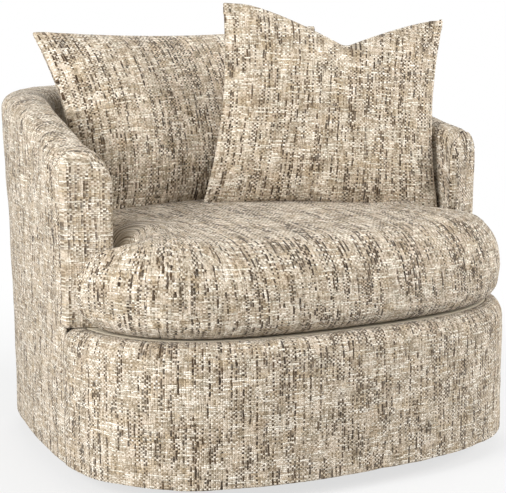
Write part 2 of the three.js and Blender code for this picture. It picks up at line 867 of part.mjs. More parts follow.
// The outline of a pillow: pointed corners, sides drawn in between them, and a chop in the top.
function pillowOutline(width, height, pull, chop) {
  const corners = [[-1, -1], [1, -1], [1, 1], [-1, 1]];
  const points = [];
  corners.forEach(([cx, cy], k) => {
    const [nx, ny] = corners[(k + 1) % 4];
    for (let i = 0; i < pillowSideSteps; i += 1) {
      const share = i / pillowSideSteps;
      const along = 2 * share - 1;
      const x = mix(cx, nx, share);
      const y = mix(cy, ny, share);
      const draw = pull * (1 - along ** 2);
      const chopShare = k === 2 ? Math.max(1 - Math.abs(along) / chopReachShare, 0) ** chopPower : 0;
      const inX = cx === nx ? cx * draw : 0;
      const inY = cy === ny ? cy * (draw + chop * chopShare) : 0;
      points.push(new THREE.Vector2((x * width) / 2 - inX, (y * height) / 2 - inY));
    }
  });
  return points;
}

// A knife-edge pillow standing in the XZ plane, thickest in the middle.
function pillow(width, height, thickness, pull, chop) {
  const outline = pillowOutline(width, height, pull, chop);
  const fullness = (share) => (1 - share ** pillowFullness) ** pillowEdgePower;
  const puff = (share) => mix(pillowSeam, thickness, fullness(share)) / 2;
  const ring = (share, side) =>
    outline.map((p) => new THREE.Vector3(p.x * share, side * puff(share), p.y * share));
  const rings = [
    ...pillowRingShares.map((share) => ring(share, -1)),
    ...[...pillowRingShares].reverse().map((share) => ring(share, 1)),
  ];
  return poleLoft(rings, new THREE.Vector3(0, -thickness / 2, 0), new THREE.Vector3(0, thickness / 2, 0));
}

// Lets a piece down until it rests on another one.
function letDown(mesh, support) {
  const placed = (piece) => {
    piece.updateMatrix();
    return solid(piece.geometry.clone().applyMatrix4(piece.matrix));
  };
  const upper = placed(mesh);
  const lower = placed(support);
  let clear = 0;
  let touching = pillowDropFrom;
  while (touching - clear > seatGap / 10) {
    const drop = (clear + touching) / 2;
    if (upper.translate([0, 0, -drop]).intersect(lower).isEmpty()) {
      clear = drop;
    } else {
      touching = drop;
    }
  }
  mesh.position.z -= clear - seatGap;
}

function addCushions() {
  const seat = place("seat_cushion", seatCushion(), tweed);
  const back = place(
    "back_pillow",
    pillow(backPillowWidth, backPillowHeight, backPillowThickness, backPillowPull, 0),
    tweed,
  );
  back.rotation.x = -THREE.MathUtils.degToRad(backPillowLeanDeg);
  back.position.set(0, backPillowY, pillowDropFrom + backPillowHeight);
  letDown(back, seat);
  const loose = place(
    "throw_pillow",
    pillow(throwPillowWidth, throwPillowHeight, throwPillowThickness, throwPillowPull, throwPillowChop),
    tweed,
  );
  loose.rotation.order = "ZXY";
  loose.rotation.z = THREE.MathUtils.degToRad(throwPillowYawDeg);
  loose.rotation.x = -THREE.MathUtils.degToRad(throwPillowLeanDeg);
  loose.rotation.y = THREE.MathUtils.degToRad(throwPillowRollDeg);
  loose.position.set(throwPillowX, throwPillowY, pillowDropFrom + throwPillowHeight);
  letDown(loose, seat);
}

// Floor base

function addBase() {
  const ring = new THREE.TorusGeometry(ringRadius, ringTubeRadius, 8, ringSides);
  place("base_ring", ring.translate(0, 0, ringHeight), darkSteel);
  place("spider", spider(), darkSteel);
  for (let i = 0; i < spiderArms; i += 1) {
    const angle = ((i + 0.5) * 2 * Math.PI) / spiderArms;
    const x = ringRadius * Math.cos(angle);
    const y = ringRadius * Math.sin(angle);
    place(`glide_${i + 1}`, post(glideRadius, 0, glideHeight, x, y, holeSides), nylon);
  }
  place("king_bolt", kingBolt(), steelGrey);
}

function kingBoltBore(bottom, top) {
  return post(kingBoltRadius + turnGap, bottom - cutOver, top + cutOver);
}

// Four pressed arms, open underneath, that climb from the ring to the hub.
function spider() {
  const arms = [];
  const half = spiderWidth / 2;
  const ringInside = (ringRadius - ringTubeRadius) * Math.cos(Math.PI / ringSides) - seatGap;
  const outer = Math.sqrt(ringInside ** 2 - half ** 2);
  const inner = hubRadius / 2;
  const lowTop = ringHeight + spiderDepth / 2;
  const highTop = hubTop - hubThickness / 2;
  const section = (top) => [
    [-half, top - spiderDepth],
    [-half, top],
    [half, top],
    [half, top - spiderDepth],
    [half - spiderWall, top - spiderDepth],
    [half - spiderWall, top - spiderWall],
    [-half + spiderWall, top - spiderWall],
    [-half + spiderWall, top - spiderDepth],
  ];
  for (let i = 0; i < spiderArms; i += 1) {
    const rings = spiderClimbShares.map(([inShare, upShare]) => {
      const reach = mix(outer, inner, inShare);
      const top = mix(lowTop, highTop, upShare);
      return section(top).map(([across, height]) => new THREE.Vector3(across, -reach, height));
    });
    arms.push(loft(rings, asOutline(section(lowTop))).rotateZ(((i + 0.5) * 2 * Math.PI) / spiderArms));
  }
  const hub = post(hubRadius, hubTop - hubThickness, hubTop);
  const bore = kingBoltBore(0, hubTop);
  return carve([hub, ...arms], [bore]);
}

// A bolt along Z with its head underneath and its nut on top.
function boltWithNut(radius, headRadius, headHeight, headTop, nutBottom, sides) {
  return turned(
    [
      [0, headTop - headHeight],
      [headRadius, headTop - headHeight],
      [headRadius, headTop],
      [radius, headTop],
      [radius, nutBottom],
      [headRadius, nutBottom],
      [headRadius, nutBottom + headHeight],
      [0, nutBottom + headHeight],
    ],
    sides,
  );
}

// The bolt that holds the bearing together: a head under the hub and a nut over the swivel plate.
function kingBolt() {
  const headTop = hubTop - hubThickness - seatGap;
  const nutBottom = swivelPlateTop + seatGap;
  return boltWithNut(kingBoltRadius, kingBoltHeadRadius, kingBoltHeadHeight, headTop, nutBottom, holeSides);
}

// Bearing

// A pressed race: a flat washer with a round track for the balls. side 1 opens upwards.
function race(side, flatHeight) {
  const trackRadius = ballRadius + turnGap;
  const floor = flatHeight + side * raceWall;
  const lip = ballTrackRadius + trackRadius;
  const rise = side * trackRadius * raceLipShare;
  const flank = floor + rise * raceFlankShare;
  const halfFloor = trackRadius * raceFloorShare;
  return turned([
    [raceInnerRadius, flatHeight],
    [raceOuterRadius, flatHeight],
    [raceOuterRadius, floor + rise],
    [lip + raceWall, floor + rise],
    [lip, flank],
    [ballTrackRadius + halfFloor, floor],
    [ballTrackRadius - halfFloor, floor],
    [ballTrackRadius - trackRadius, flank],
    [ballTrackRadius - trackRadius - raceWall, floor + rise],
    [raceInnerRadius, floor],
  ]);
}

// Balls held in a flat ring.
function ballCage() {
  const inner = ballTrackRadius - cageWidth / 2;
  const outer = ballTrackRadius + cageWidth / 2;
  const flat = turned([
    [inner, ballHeight - cageThickness / 2],
    [outer, ballHeight - cageThickness / 2],
    [outer, ballHeight + cageThickness / 2],
    [inner, ballHeight + cageThickness / 2],
  ]);
  const balls = Array.from({ length: ballCount }, (_, i) => {
    const angle = (2 * Math.PI * i) / ballCount;
    const ball = new THREE.SphereGeometry(ballRadius, ballSegments, ballRows).rotateX(Math.PI / 2);
    return ball.translate(ballTrackRadius * Math.cos(angle), ballTrackRadius * Math.sin(angle), ballHeight);
  });
  return carve([flat, ...balls]);
}

function addBearing() {
  place("lower_race", race(1, lowerRaceBottom), steelGrey);
  place("ball_cage", ballCage(), springSteel);
  place("upper_race", race(-1, upperRaceTop), steelGrey);
}

// Turning carriage

function swivelPlate() {
  const plate = roundedPlate(swivelPlateWidth, swivelPlateDepth, swivelPlateBottom);
  const bore = kingBoltBore(swivelPlateBottom, swivelPlateTop);
  return carve([plate], [bore]);
}

// An upright plate with a foot, tapering up to a round eye for the shaft.
function pivotBracket(side) {
  const bottom = swivelPlateTop + seatGap;
  const eye = new THREE.Shape();
  eye.moveTo(-bracketBaseDepth / 2, bottom);
  eye.lineTo(bracketBaseDepth / 2, bottom);
  eye.lineTo(bracketBaseDepth / 2, bottom + bracketThickness);
  eye.absarc(0, pivotHeight, bracketTopRadius, Math.PI / 6, (5 * Math.PI) / 6, false);
  eye.lineTo(-bracketBaseDepth / 2, bottom + bracketThickness);
  const upright = extruded(eye, bracketThickness, eyeSteps).rotateX(Math.PI / 2).rotateZ(Math.PI / 2);
  upright.translate(side * bracketX - bracketThickness / 2, 0, 0);
  const footX = side * (bracketX - bracketThickness / 2 + bracketFootWidth / 2 - bracketThickness);
  const foot = box(bracketFootWidth, bracketBaseDepth, bracketThickness, footX, 0, bottom);
  const trimX = side * (swivelPlateWidth / 2 + bracketFootWidth / 2);
  const trim = box(bracketFootWidth, bracketBaseDepth, bracketThickness, trimX, 0, bottom);
  const bore = crossPin(
    shaftRadius + seatGap,
    side * bracketX - bracketThickness - cutOver,
    side * bracketX + bracketThickness + cutOver,
    0,
    pivotHeight,
  );
  return carve([upright, foot], [trim, bore]);
}

// A shaft through both brackets with a washer and clip fused on each end.
function pivotShaft() {
  const outer = bracketX + bracketThickness / 2 + seatGap;
  const end = outer + shaftHeadThickness;
  const shaft = crossPin(shaftRadius, -end - shaftEndOver, end + shaftEndOver, 0, pivotHeight);
  const washers = [
    crossPin(shaftHeadRadius, -end, -outer, 0, pivotHeight),
    crossPin(shaftHeadRadius, outer, end, 0, pivotHeight),
  ];
  return carve([shaft, ...washers]);
}

// A tray across the plate with a raised spigot inside each coil.
function springTray(y) {
  const width = 2 * (bracketX - bracketThickness - turnGap);
  const bottom = trayTop - springTrayThickness;
  const spigots = [-springX, springX].map((x) =>
    post(spigotRadius, bottom, trayTop + spigotHeight, x, y, holeSides),
  );
  const tray = box(width, springTrayDepth, springTrayThickness, 0, y, bottom);
  return carve([tray, ...spigots]);
}

function addCarriage() {
  place("swivel_plate", swivelPlate(), steelGrey);
  place("left_pivot_bracket", pivotBracket(-1), steelGrey);
  place("right_pivot_bracket", pivotBracket(1), steelGrey);
  place("pivot_shaft", pivotShaft(), springSteel);
  place("front_spring_tray", springTray(-springY), steelGrey);
  place("rear_spring_tray", springTray(springY), steelGrey);
}

// Rocking plate

function tiltPlate() {
  const plate = roundedPlate(tiltPlateWidth, tiltPlateDepth, tiltPlateBottom);
  const eyeRadius = bushOuter + seatGap;
  const spigotBottom = tiltPlateBottom - spigotHeight;
  const spigotTop = tiltPlateBottom + plateThickness / 2;
  const ears = [];
  const cuts = [];
  for (const side of [-1, 1]) {
    const eye = new THREE.Shape();
    eye.moveTo(earDepth / 2, tiltPlateTop);
    eye.lineTo(-earDepth / 2, tiltPlateTop);
    eye.absarc(0, pivotHeight, bushFlangeRadius, Math.PI, 2 * Math.PI, false);
    const ear = extruded(eye, earThickness, eyeSteps).rotateX(Math.PI / 2).rotateZ(Math.PI / 2);
    ears.push(ear.translate(side * earX - earThickness / 2, 0, 0));
    const from = side * earX - earThickness - cutOver;
    cuts.push(crossPin(eyeRadius, from, from + 2 * (earThickness + cutOver), 0, pivotHeight));
  }
  for (const x of [-springX, springX]) {
    for (const y of [-springY, springY]) {
      ears.push(post(spigotRadius, spigotBottom, spigotTop, x, y, holeSides));
      cuts.push(boltHole(spigotBottom, tiltPlateTop, x, y));
    }
  }
  return carve([plate, ...ears], cuts);
}

// A flanged bush between the shaft and an ear. Its flange keeps the ear off the bracket.
function flangedBush(side) {
  const inner = earX - earThickness / 2;
  const outer = earX + earThickness / 2 + seatGap;
  const flange = bracketX - bracketThickness / 2 - turnGap;
  const body = crossPin(bushOuter, inner, flange, 0, pivotHeight);
  const collar = crossPin(bushFlangeRadius, outer, flange, 0, pivotHeight);
  const bore = crossPin(bushBore, inner - cutOver, flange + cutOver, 0, pivotHeight);
  const bush = carve([body, collar], [bore]);
  return side > 0 ? bush : bush.rotateZ(Math.PI);
}

// A bolt up through a spigot, the plate and a slat, with its nut on top.
function mountingBolt(x, y) {
  const headTop = tiltPlateBottom - spigotHeight - seatGap;
  const nutBottom = railBottom + slatThickness + seatGap;
  const bolt = boltWithNut(boltRadius, boltHeadRadius, boltHeadHeight, headTop, nutBottom, boltSides);
  return bolt.translate(x, y, 0);
}

// A compression spring: one wire whose ends turn straight into the plates.
function coilSpring(x, y) {
  const bottom = trayTop + seatGap;
  const top = tiltPlateBottom - seatGap;
  const low = bottom + springWire * 1.5;
  const high = top - springWire * 1.5;
  const steps = springCurls * stepsPerCurl;
  const path = [];
  for (let i = 0; i <= steps; i += 1) {
    const turn = (2 * Math.PI * springCurls * i) / steps;
    path.push(
      new THREE.Vector3(
        x + springRadius * Math.cos(turn),
        y + springRadius * Math.sin(turn),
        mix(low, high, i / steps),
      ),
    );
  }
  const upright = (p, height) => new THREE.Vector3(p.x, p.y, height);
  const [first, last] = [path[0], path[steps]];
  path.unshift(upright(first, bottom), upright(first, bottom + springWire));
  path.push(upright(last, top - springWire), upright(last, top));
  return { geometry: springWireAlong(path, x, y), path };
}

// Wire rings that keep one point towards the coil's axis, so that they never twist over.
function springWireAlong(path, x, y) {
  const outline = roundOutline(wireSides);
  const rings = path.map((p, i) => {
    const ahead = path[Math.min(i + 1, path.length - 1)];
    const behind = path[Math.max(i - 1, 0)];
    const along = ahead.clone().sub(behind).normalize();
    const outward = new THREE.Vector3(p.x - x, p.y - y, 0).normalize();
    const over = new THREE.Vector3().crossVectors(along, outward).normalize();
    const square = new THREE.Vector3().crossVectors(over, along);
    return outline.map((o) =>
      p
        .clone()
        .addScaledVector(square, (springWire / 2) * o.x)
        .addScaledVector(over, (springWire / 2) * o.y),
    );
  });
  return loft(rings, outline);
}

// Least clear gap between stretches of the wire that lie more than half a curl apart.
function leastSelfGap(path) {
  let least = Infinity;
  path.forEach((p, i) => {
    for (let j = i + stepsPerCurl / 2 + 1; j < path.length; j += 1) {
      least = Math.min(least, p.distanceTo(path[j]) - springWire);
    }
  });
  return least;
}

function addRockingPlate() {
  place("tilt_plate", tiltPlate(), steelGrey);
  place("left_bush", flangedBush(-1), nylon);
  place("right_bush", flangedBush(1), nylon);
  for (const [end, y] of [["front", -springY], ["rear", springY]]) {
    for (const [name, side] of [["left", -1], ["right", 1]]) {
      place(`${end}_${name}_bolt`, mountingBolt(side * springX, y), steelGrey);
      const spring = coilSpring(side * springX, y);
      const gap = leastSelfGap(spring.path);
      if (gap < springSelfGap) {
        throw new Error(`${end}_${name}_spring touches itself`);
      }
      console.log(`${end}_${name}_spring least gap to itself ${gap.toFixed(2)} mm`);
      place(`${end}_${name}_spring`, spring.geometry, springSteel);
    }
  }
}

function addUpholstery() {
  place("left_arm_upholstery", armUpholstery(-1), tweed);
  place("right_arm_upholstery", armUpholstery(1), tweed);
  place("back_upholstery", backUpholstery(), tweed);
  place("left_arm_front_panel", armFrontPanel(-1), tweed);
  place("right_arm_front_panel", armFrontPanel(1), tweed);
  place("front_border", frontBorder(), tweed);
  place("deck_pad", deckPad(), whiteFelt);
  place("front_dust_cover", dustCover(true), cambric);
  place("rear_dust_cover", dustCover(false), cambric);
}

function addSeatSprings() {
  for (let i = 0; i < sinuousCount; i += 1) {
    const x = (i - (sinuousCount - 1) / 2) * sinuousSpacing;
    place(`sinuous_spring_${i + 1}`, sinuousSpring(x), springSteel);
  }
}

addBase();
addBearing();
addCarriage();
addRockingPlate();
addTimber();
addSeatSprings();
addUpholstery();
addCushions();

// The part's origin lies on the floor under the middle of the overall depth.
const backmostY = wallPoint(Math.PI / 2, 0, backRimHeight - rimShoulder).y;
chair.position.y = (frontReach - backmostY) / 2;

export default chair;
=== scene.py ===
import math

import bmesh
import bpy
import numpy as np
from mathutils import Euler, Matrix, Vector


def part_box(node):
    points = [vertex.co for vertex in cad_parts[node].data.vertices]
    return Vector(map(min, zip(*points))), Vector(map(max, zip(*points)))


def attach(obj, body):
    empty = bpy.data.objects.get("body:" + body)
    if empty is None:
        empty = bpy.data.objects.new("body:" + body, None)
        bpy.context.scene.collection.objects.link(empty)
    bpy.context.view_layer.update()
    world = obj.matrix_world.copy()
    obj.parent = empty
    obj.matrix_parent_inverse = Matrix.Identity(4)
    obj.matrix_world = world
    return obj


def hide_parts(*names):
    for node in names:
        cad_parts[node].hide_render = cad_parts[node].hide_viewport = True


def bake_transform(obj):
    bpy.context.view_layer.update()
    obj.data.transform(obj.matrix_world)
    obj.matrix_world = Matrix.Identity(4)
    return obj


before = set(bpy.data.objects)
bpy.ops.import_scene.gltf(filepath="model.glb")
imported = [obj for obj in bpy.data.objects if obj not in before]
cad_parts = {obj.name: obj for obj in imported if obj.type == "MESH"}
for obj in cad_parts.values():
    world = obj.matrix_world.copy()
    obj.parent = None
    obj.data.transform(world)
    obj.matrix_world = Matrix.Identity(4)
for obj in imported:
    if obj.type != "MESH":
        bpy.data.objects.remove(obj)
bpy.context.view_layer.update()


# Floor glides and bearing bushes.
# Four natural nylon discs carry the ring on the floor, and two flanged nylon bushes carry the tilt
# plate on its shaft. They are moulded, slightly translucent white, with a fine matt skin.

def feed(tree, node, inputs):
    """Gives a shader node its inputs: values, or sockets to link."""
    for key, value in inputs.items():
        if isinstance(value, bpy.types.NodeSocket):
            tree.links.new(value, node.inputs[key])
        else:
            node.inputs[key].default_value = value


def node_of(tree, kind, inputs=None, **settings):
    """Adds a shader node with its settings and inputs."""
    node = tree.nodes.new("ShaderNode" + kind)
    for name, value in settings.items():
        setattr(node, name, value)
    feed(tree, node, inputs or {})
    return node


def maths(tree, operation, *values, clamp=False):
    return node_of(tree, "Math", dict(enumerate(values)), operation=operation, use_clamp=clamp).outputs[0]


def smooth_step(tree, value, start, end):
    """0 below start and 1 above end, or the other way round where end lies below start."""
    ranges = {"Value": value, "From Min": start, "From Max": end}
    return node_of(tree, "MapRange", ranges, interpolation_type="SMOOTHSTEP").outputs[0]


def dye_mix(tree, share, first, second):
    """Mixes two colours by a share."""
    mixed = node_of(tree, "Mix", {0: share, 6: first, 7: second}, data_type="RGBA")
    return mixed.outputs[2]


def noise(tree, vector, scale, detail=2.0, roughness=0.5, output=0, dimensions="3D"):
    """Smooth noise: its value, or its colour where output says so."""
    inputs = {"Vector": vector, "Scale": scale, "Detail": detail, "Roughness": roughness}
    return node_of(tree, "TexNoise", inputs, noise_dimensions=dimensions).outputs[output]


def shade_of(red, green, blue):
    """A colour read off a shade card (0 to 255) as the linear colour that the shaders take."""
    def linear(value):
        value /= 255
        return value / 12.92 if value <= 0.04045 else ((value + 0.055) / 1.055) ** 2.4
    return (linear(red), linear(green), linear(blue), 1)


def new_material(name):
    """An empty material with its shader: (material, tree, shader)."""
    material = bpy.data.materials.new(name)
    material.use_nodes = True
    tree = material.node_tree
    return material, tree, tree.nodes["Principled BSDF"]


def bump(tree, height, distance, strength=1.0):
    inputs = {"Height": height, "Distance": distance, "Strength": strength}
    return node_of(tree, "Bump", inputs).outputs[0]


def place_of(tree):
    """The point of the object that is shaded, in metres in the chair's own frame."""
    return node_of(tree, "TexCoord").outputs["Object"]


def finish(material, *nodes):
    """Gives CAD nodes their material."""
    for node in nodes:
        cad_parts[node].material_slots[0].material = material


skin_depth = 0.0002


def moulded_nylon():
    material, tree, shader = new_material("moulded_nylon")
    cloudy = noise(tree, place_of(tree), 90, 3)
    skin = noise(tree, place_of(tree), 900, 2)
    feed(tree, shader, {
        "Base Color": dye_mix(tree, cloudy, shade_of(226, 221, 208), shade_of(205, 199, 184)),
        "Roughness": smooth_step(tree, cloudy, 0.2, 1.4),
        "Normal": bump(tree, skin, skin_depth),
        "Subsurface Weight": 0.1,
        "Subsurface Radius": (0.004, 0.004, 0.003),
    })
    return material


finish(moulded_nylon(), "glide_1", "glide_2", "glide_3", "glide_4", "left_bush", "right_bush")


# Base ring and spider.
# A bent and welded tube ring stands on the glides, with a pressed four-armed spider inside it.
# Both are steel with a satin black powder coat that is dusty on top and rubbed grey on its edges.

coat_mark_size = 0.012
coat_grain_depth = 0.0003


def new_group(name, inputs, outputs):
    """An empty node group with sockets of the kinds given: (group, what it is given, its result)."""
    group = bpy.data.node_groups.new(name, "ShaderNodeTree")
    for way, sockets in (("INPUT", inputs), ("OUTPUT", outputs)):
        for label, kind in sockets.items():
            group.interface.new_socket(label, in_out=way, socket_type="NodeSocket" + kind)
    return group, group.nodes.new("NodeGroupInput").outputs, group.nodes.new("NodeGroupOutput")


def surface_wear_group():
    """Dust and rubbed marks over metal. The masks run from 0 to 1."""
    inputs = {"Place": "Vector", "Mark Size": "Float"}
    outputs = {"Dust": "Float", "Marks": "Float", "Grain": "Float"}
    group, given, result = new_group("surface_wear", inputs, outputs)
    facing = node_of(group, "SeparateXYZ", {0: node_of(group, "NewGeometry").outputs["Normal"]}).outputs[2]
    settled = smooth_step(group, facing, 0.3, 1.0)
    cloud = smooth_step(group, noise(group, given["Place"], 22, 4, 0.65), 0.4, 0.75)
    small = maths(group, "DIVIDE", 1.0, given["Mark Size"])
    feed(group, result, {
        "Dust": maths(group, "MULTIPLY", settled, cloud),
        "Marks": smooth_step(group, noise(group, given["Place"], small, 5, 0.7), 0.56, 0.72),
        "Grain": noise(group, given["Place"], 1400, 2),
    })
    return group


surface_wear = surface_wear_group()


def worn(tree, mark_size):
    """Places the wear group in a material and returns its outputs."""
    inputs = {"Place": place_of(tree), "Mark Size": mark_size}
    return node_of(tree, "Group", inputs, node_tree=surface_wear).outputs


def powder_coat():
    material, tree, shader = new_material("black_powder_coat")
    wear = worn(tree, coat_mark_size)
    rubbed = dye_mix(tree, wear["Marks"], shade_of(33, 33, 35), shade_of(58, 57, 56))
    dust = maths(tree, "MULTIPLY", wear["Dust"], 0.35)
    feed(tree, shader, {
        "Base Color": dye_mix(tree, dust, rubbed, shade_of(150, 143, 131)),
        "Roughness": maths(tree, "MULTIPLY_ADD", wear["Dust"], 0.3, 0.42),
        "Normal": bump(tree, wear["Grain"], coat_grain_depth),
    })
    return material


finish(powder_coat(), "base_ring", "spider")


# Bearing races, king bolt, carriage, spring trays, tilt plate and its bolts.
# Pressed and turned steel parts, all zinc-plated: a cool grey with a faint yellow bloom, duller
# where the plating was handled. The plates were pressed, so their faces show faint drawing marks.

zinc_mark_size = 0.02
zinc_streak_depth = 0.0002


def zinc_plate():
    material, tree, shader = new_material("zinc_plate")
    wear = worn(tree, zinc_mark_size)
    drawn = node_of(tree, "Mapping", {"Vector": place_of(tree), "Scale": (1, 26, 1)}).outputs[0]
    streak = noise(tree, drawn, 45, 3, 0.6)
    bloom = dye_mix(tree, wear["Marks"], shade_of(176, 180, 184), shade_of(171, 166, 148))
    feed(tree, shader, {
        "Base Color": dye_mix(tree, wear["Dust"], bloom, shade_of(140, 136, 128)),
        "Metallic": maths(tree, "SUBTRACT", 1.0, wear["Dust"]),
        "Roughness": maths(tree, "MULTIPLY_ADD", streak, 0.3, 0.2),
        "Normal": bump(tree, streak, zinc_streak_depth, 0.6),
    })
    return material


zinc_parts = [
    "king_bolt", "lower_race", "upper_race", "swivel_plate", "left_pivot_bracket",
    "right_pivot_bracket", "front_spring_tray", "rear_spring_tray", "tilt_plate",
    "front_left_bolt", "front_right_bolt", "rear_left_bolt", "rear_right_bolt",
]
finish(zinc_plate(), *zinc_parts)


# Pivot shaft, ball cage and sinuous seat springs.
# Bright turned steel and hard-drawn spring wire, all with a thin film of oil, which gathers dust
# in brown patches. The wires are zigzags clipped between the front rail and the cross rail.

oil_mark_size = 0.008
oil_grain_depth = 0.0001


def oiled_steel():
    material, tree, shader = new_material("oiled_steel")
    wear = worn(tree, oil_mark_size)
    feed(tree, shader, {
        "Base Color": dye_mix(tree, wear["Marks"], shade_of(128, 128, 130), shade_of(92, 82, 70)),
        "Metallic": maths(tree, "MULTIPLY_ADD", wear["Marks"], -0.35, 1.0),
        "Roughness": maths(tree, "MULTIPLY_ADD", wear["Marks"], 0.3, 0.24),
        "Normal": bump(tree, wear["Grain"], oil_grain_depth),
    })
    return material


spring_steel = oiled_steel()
finish(spring_steel, "pivot_shaft", "ball_cage")
finish(spring_steel, *[f"sinuous_spring_{i + 1}" for i in range(4)])


# Four coil springs.
# Open-coiled compression springs of round wire stand on the spigots of the trays and hold the
# rocking plate level. Their lower ends turn with the carriage and their upper ends rock with the seat.

spring_wire = 0.006
spring_end_rise = 1.5 * spring_wire
spring_curls = 5
wire_sides = 14
steps_per_curl = 32


def add_mesh(name, points, faces, material):
    """A smooth-shaded piece from points and faces."""
    mesh = bpy.data.meshes.new(name)
    mesh.from_pydata(np.asarray(points).reshape(-1, 3).tolist(), [], faces)
    mesh.shade_smooth()
    mesh.materials.append(material)
    piece = bpy.data.objects.new(name, mesh)
    bpy.context.collection.objects.link(piece)
    return piece


def unit(vectors):
    """Vectors brought to a length of 1."""
    return vectors / np.maximum(np.linalg.norm(vectors, axis=-1, keepdims=True), 1e-12)


def tube_faces(rings, sides):
    """Faces between rings of points, closed by a face at each end."""
    faces = []
    for i in range(rings - 1):
        for j in range(sides):
            k = (j + 1) % sides
            faces.append((i * sides + j, i * sides + k, (i + 1) * sides + k, (i + 1) * sides + j))
    faces.append(tuple(reversed(range(sides))))
    faces.append(tuple((rings - 1) * sides + j for j in range(sides)))
    return faces


def coil_spring(node):
    low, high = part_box(node)
    middle = (low + high) / 2
    radius = (high.y - low.y - spring_wire) / 2
    steps = spring_curls * steps_per_curl
    turn = np.linspace(0, 2 * math.pi * spring_curls, steps + 1)
    rise = np.linspace(low.z + spring_end_rise, high.z - spring_end_rise, steps + 1)
    path = np.stack([middle.x + radius * np.cos(turn), middle.y + radius * np.sin(turn), rise], -1)
    first = [[path[0][0], path[0][1], z] for z in (low.z, low.z + spring_wire)]
    last = [[path[-1][0], path[-1][1], z] for z in (high.z - spring_wire, high.z)]
    path = np.concatenate([first, path, last])
    along = unit(np.gradient(path, axis=0))
    outward = path - [middle.x, middle.y, 0]
    outward[:, 2] = 0
    over = unit(np.cross(along, outward))
    square = np.cross(over, along)
    around = np.linspace(0, 2 * math.pi, wire_sides, endpoint=False)
    ring = np.cos(around)[None, :, None] * square[:, None] + np.sin(around)[None, :, None] * over[:, None]
    points = path[:, None] + spring_wire / 2 * ring
    piece = add_mesh("wound_" + node, points, tube_faces(len(path), wire_sides), spring_steel)
    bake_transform(piece)
    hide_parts(node)


for spring in ("front_left", "front_right", "rear_left", "rear_right"):
    coil_spring(spring + "_spring")


# Timber frame.
# Kiln-dried hardwood boards and posts, planed but unfinished, glued and screwed together. Only the
# underside shows them, past the hem. The grain runs along each board.

grain_share = 0.05
grain_depth = 0.0003


def board_grain_group():
    """Growth rings stretched along one direction, and the pores between them."""
    inputs = {"Place": "Vector", "Stretch": "Vector"}
    group, given, result = new_group("board_grain", inputs, {"Ring": "Float", "Pores": "Float"})
    scaled = {0: given["Place"], 1: given["Stretch"]}
    along = node_of(group, "VectorMath", scaled, operation="MULTIPLY").outputs[0]
    rings = maths(group, "SINE", maths(group, "MULTIPLY", noise(group, along, 7, 2), 75))
    feed(group, result, {
        "Ring": maths(group, "MULTIPLY_ADD", rings, 0.32, noise(group, along, 160, 3, 0.7)),
        "Pores": smooth_step(group, noise(group, along, 420, 1), 0.62, 0.74),
    })
    return group


board_grain = board_grain_group()


def hardwood(name, stretch):
    material, tree, shader = new_material(name)
    inputs = {"Place": place_of(tree), "Stretch": stretch}
    grain = node_of(tree, "Group", inputs, node_tree=board_grain).outputs
    wood = dye_mix(tree, grain["Ring"], shade_of(196, 158, 110), shade_of(222, 190, 146))
    pores = maths(tree, "MULTIPLY", grain["Pores"], 0.55)
    feed(tree, shader, {
        "Base Color": dye_mix(tree, pores, wood, shade_of(128, 92, 58)),
        "Roughness": maths(tree, "MULTIPLY_ADD", grain["Ring"], 0.2, 0.6),
        "Normal": bump(tree, grain["Ring"], grain_depth),
    })
    return material


upright_boards = ["left_front_post", "right_front_post", "left_back_post", "right_back_post"]
side_boards = ["left_arm_rail", "right_arm_rail", "left_seat_rail", "right_seat_rail"]
cross_boards = [
    "front_seat_rail", "back_seat_rail", "back_top_rail", "front_hem_rail", "rear_hem_rail",
    "cross_rail", "front_slat", "rear_slat",
]
finish(hardwood("hardwood_upright", (1, 1, grain_share)), *upright_boards)
finish(hardwood("hardwood_sides", (1, grain_share, 1)), *side_boards)
finish(hardwood("hardwood_across", (grain_share, 1, 1)), *cross_boards)


# Dust covers.
# Thin black spun-bonded cloth is stapled under the rails in two halves and cut out round the tilt
# plate. The bonding rollers leave a fine diamond of sunken points.

dust_cloth_depth = 0.0004
dust_sag = 0.004
dust_sag_reach = 0.08
dust_cell = 0.018


def spun_cloth():
    material, tree, shader = new_material("spun_dust_cloth")
    turned = {"Vector": place_of(tree), "Rotation": (0, 0, math.radians(45)), "Scale": (520, 520, 1)}
    cell = node_of(tree, "Mapping", turned).outputs[0]
    points = node_of(tree, "TexVoronoi", {"Vector": cell, "Scale": 1.0, "Randomness": 0.12}).outputs[0]
    fibres = noise(tree, place_of(tree), 700, 5, 0.75)
    height = maths(tree, "MULTIPLY_ADD", fibres, 0.5, smooth_step(tree, points, 0.1, 0.4))
    feed(tree, shader, {
        "Base Color": dye_mix(tree, fibres, shade_of(26, 26, 27), shade_of(52, 51, 50)),
        "Normal": bump(tree, height, dust_cloth_depth),
        "Roughness": maths(tree, "MULTIPLY_ADD", fibres, 0.2, 0.75),
    })
    return material


dust_cloth = spun_cloth()


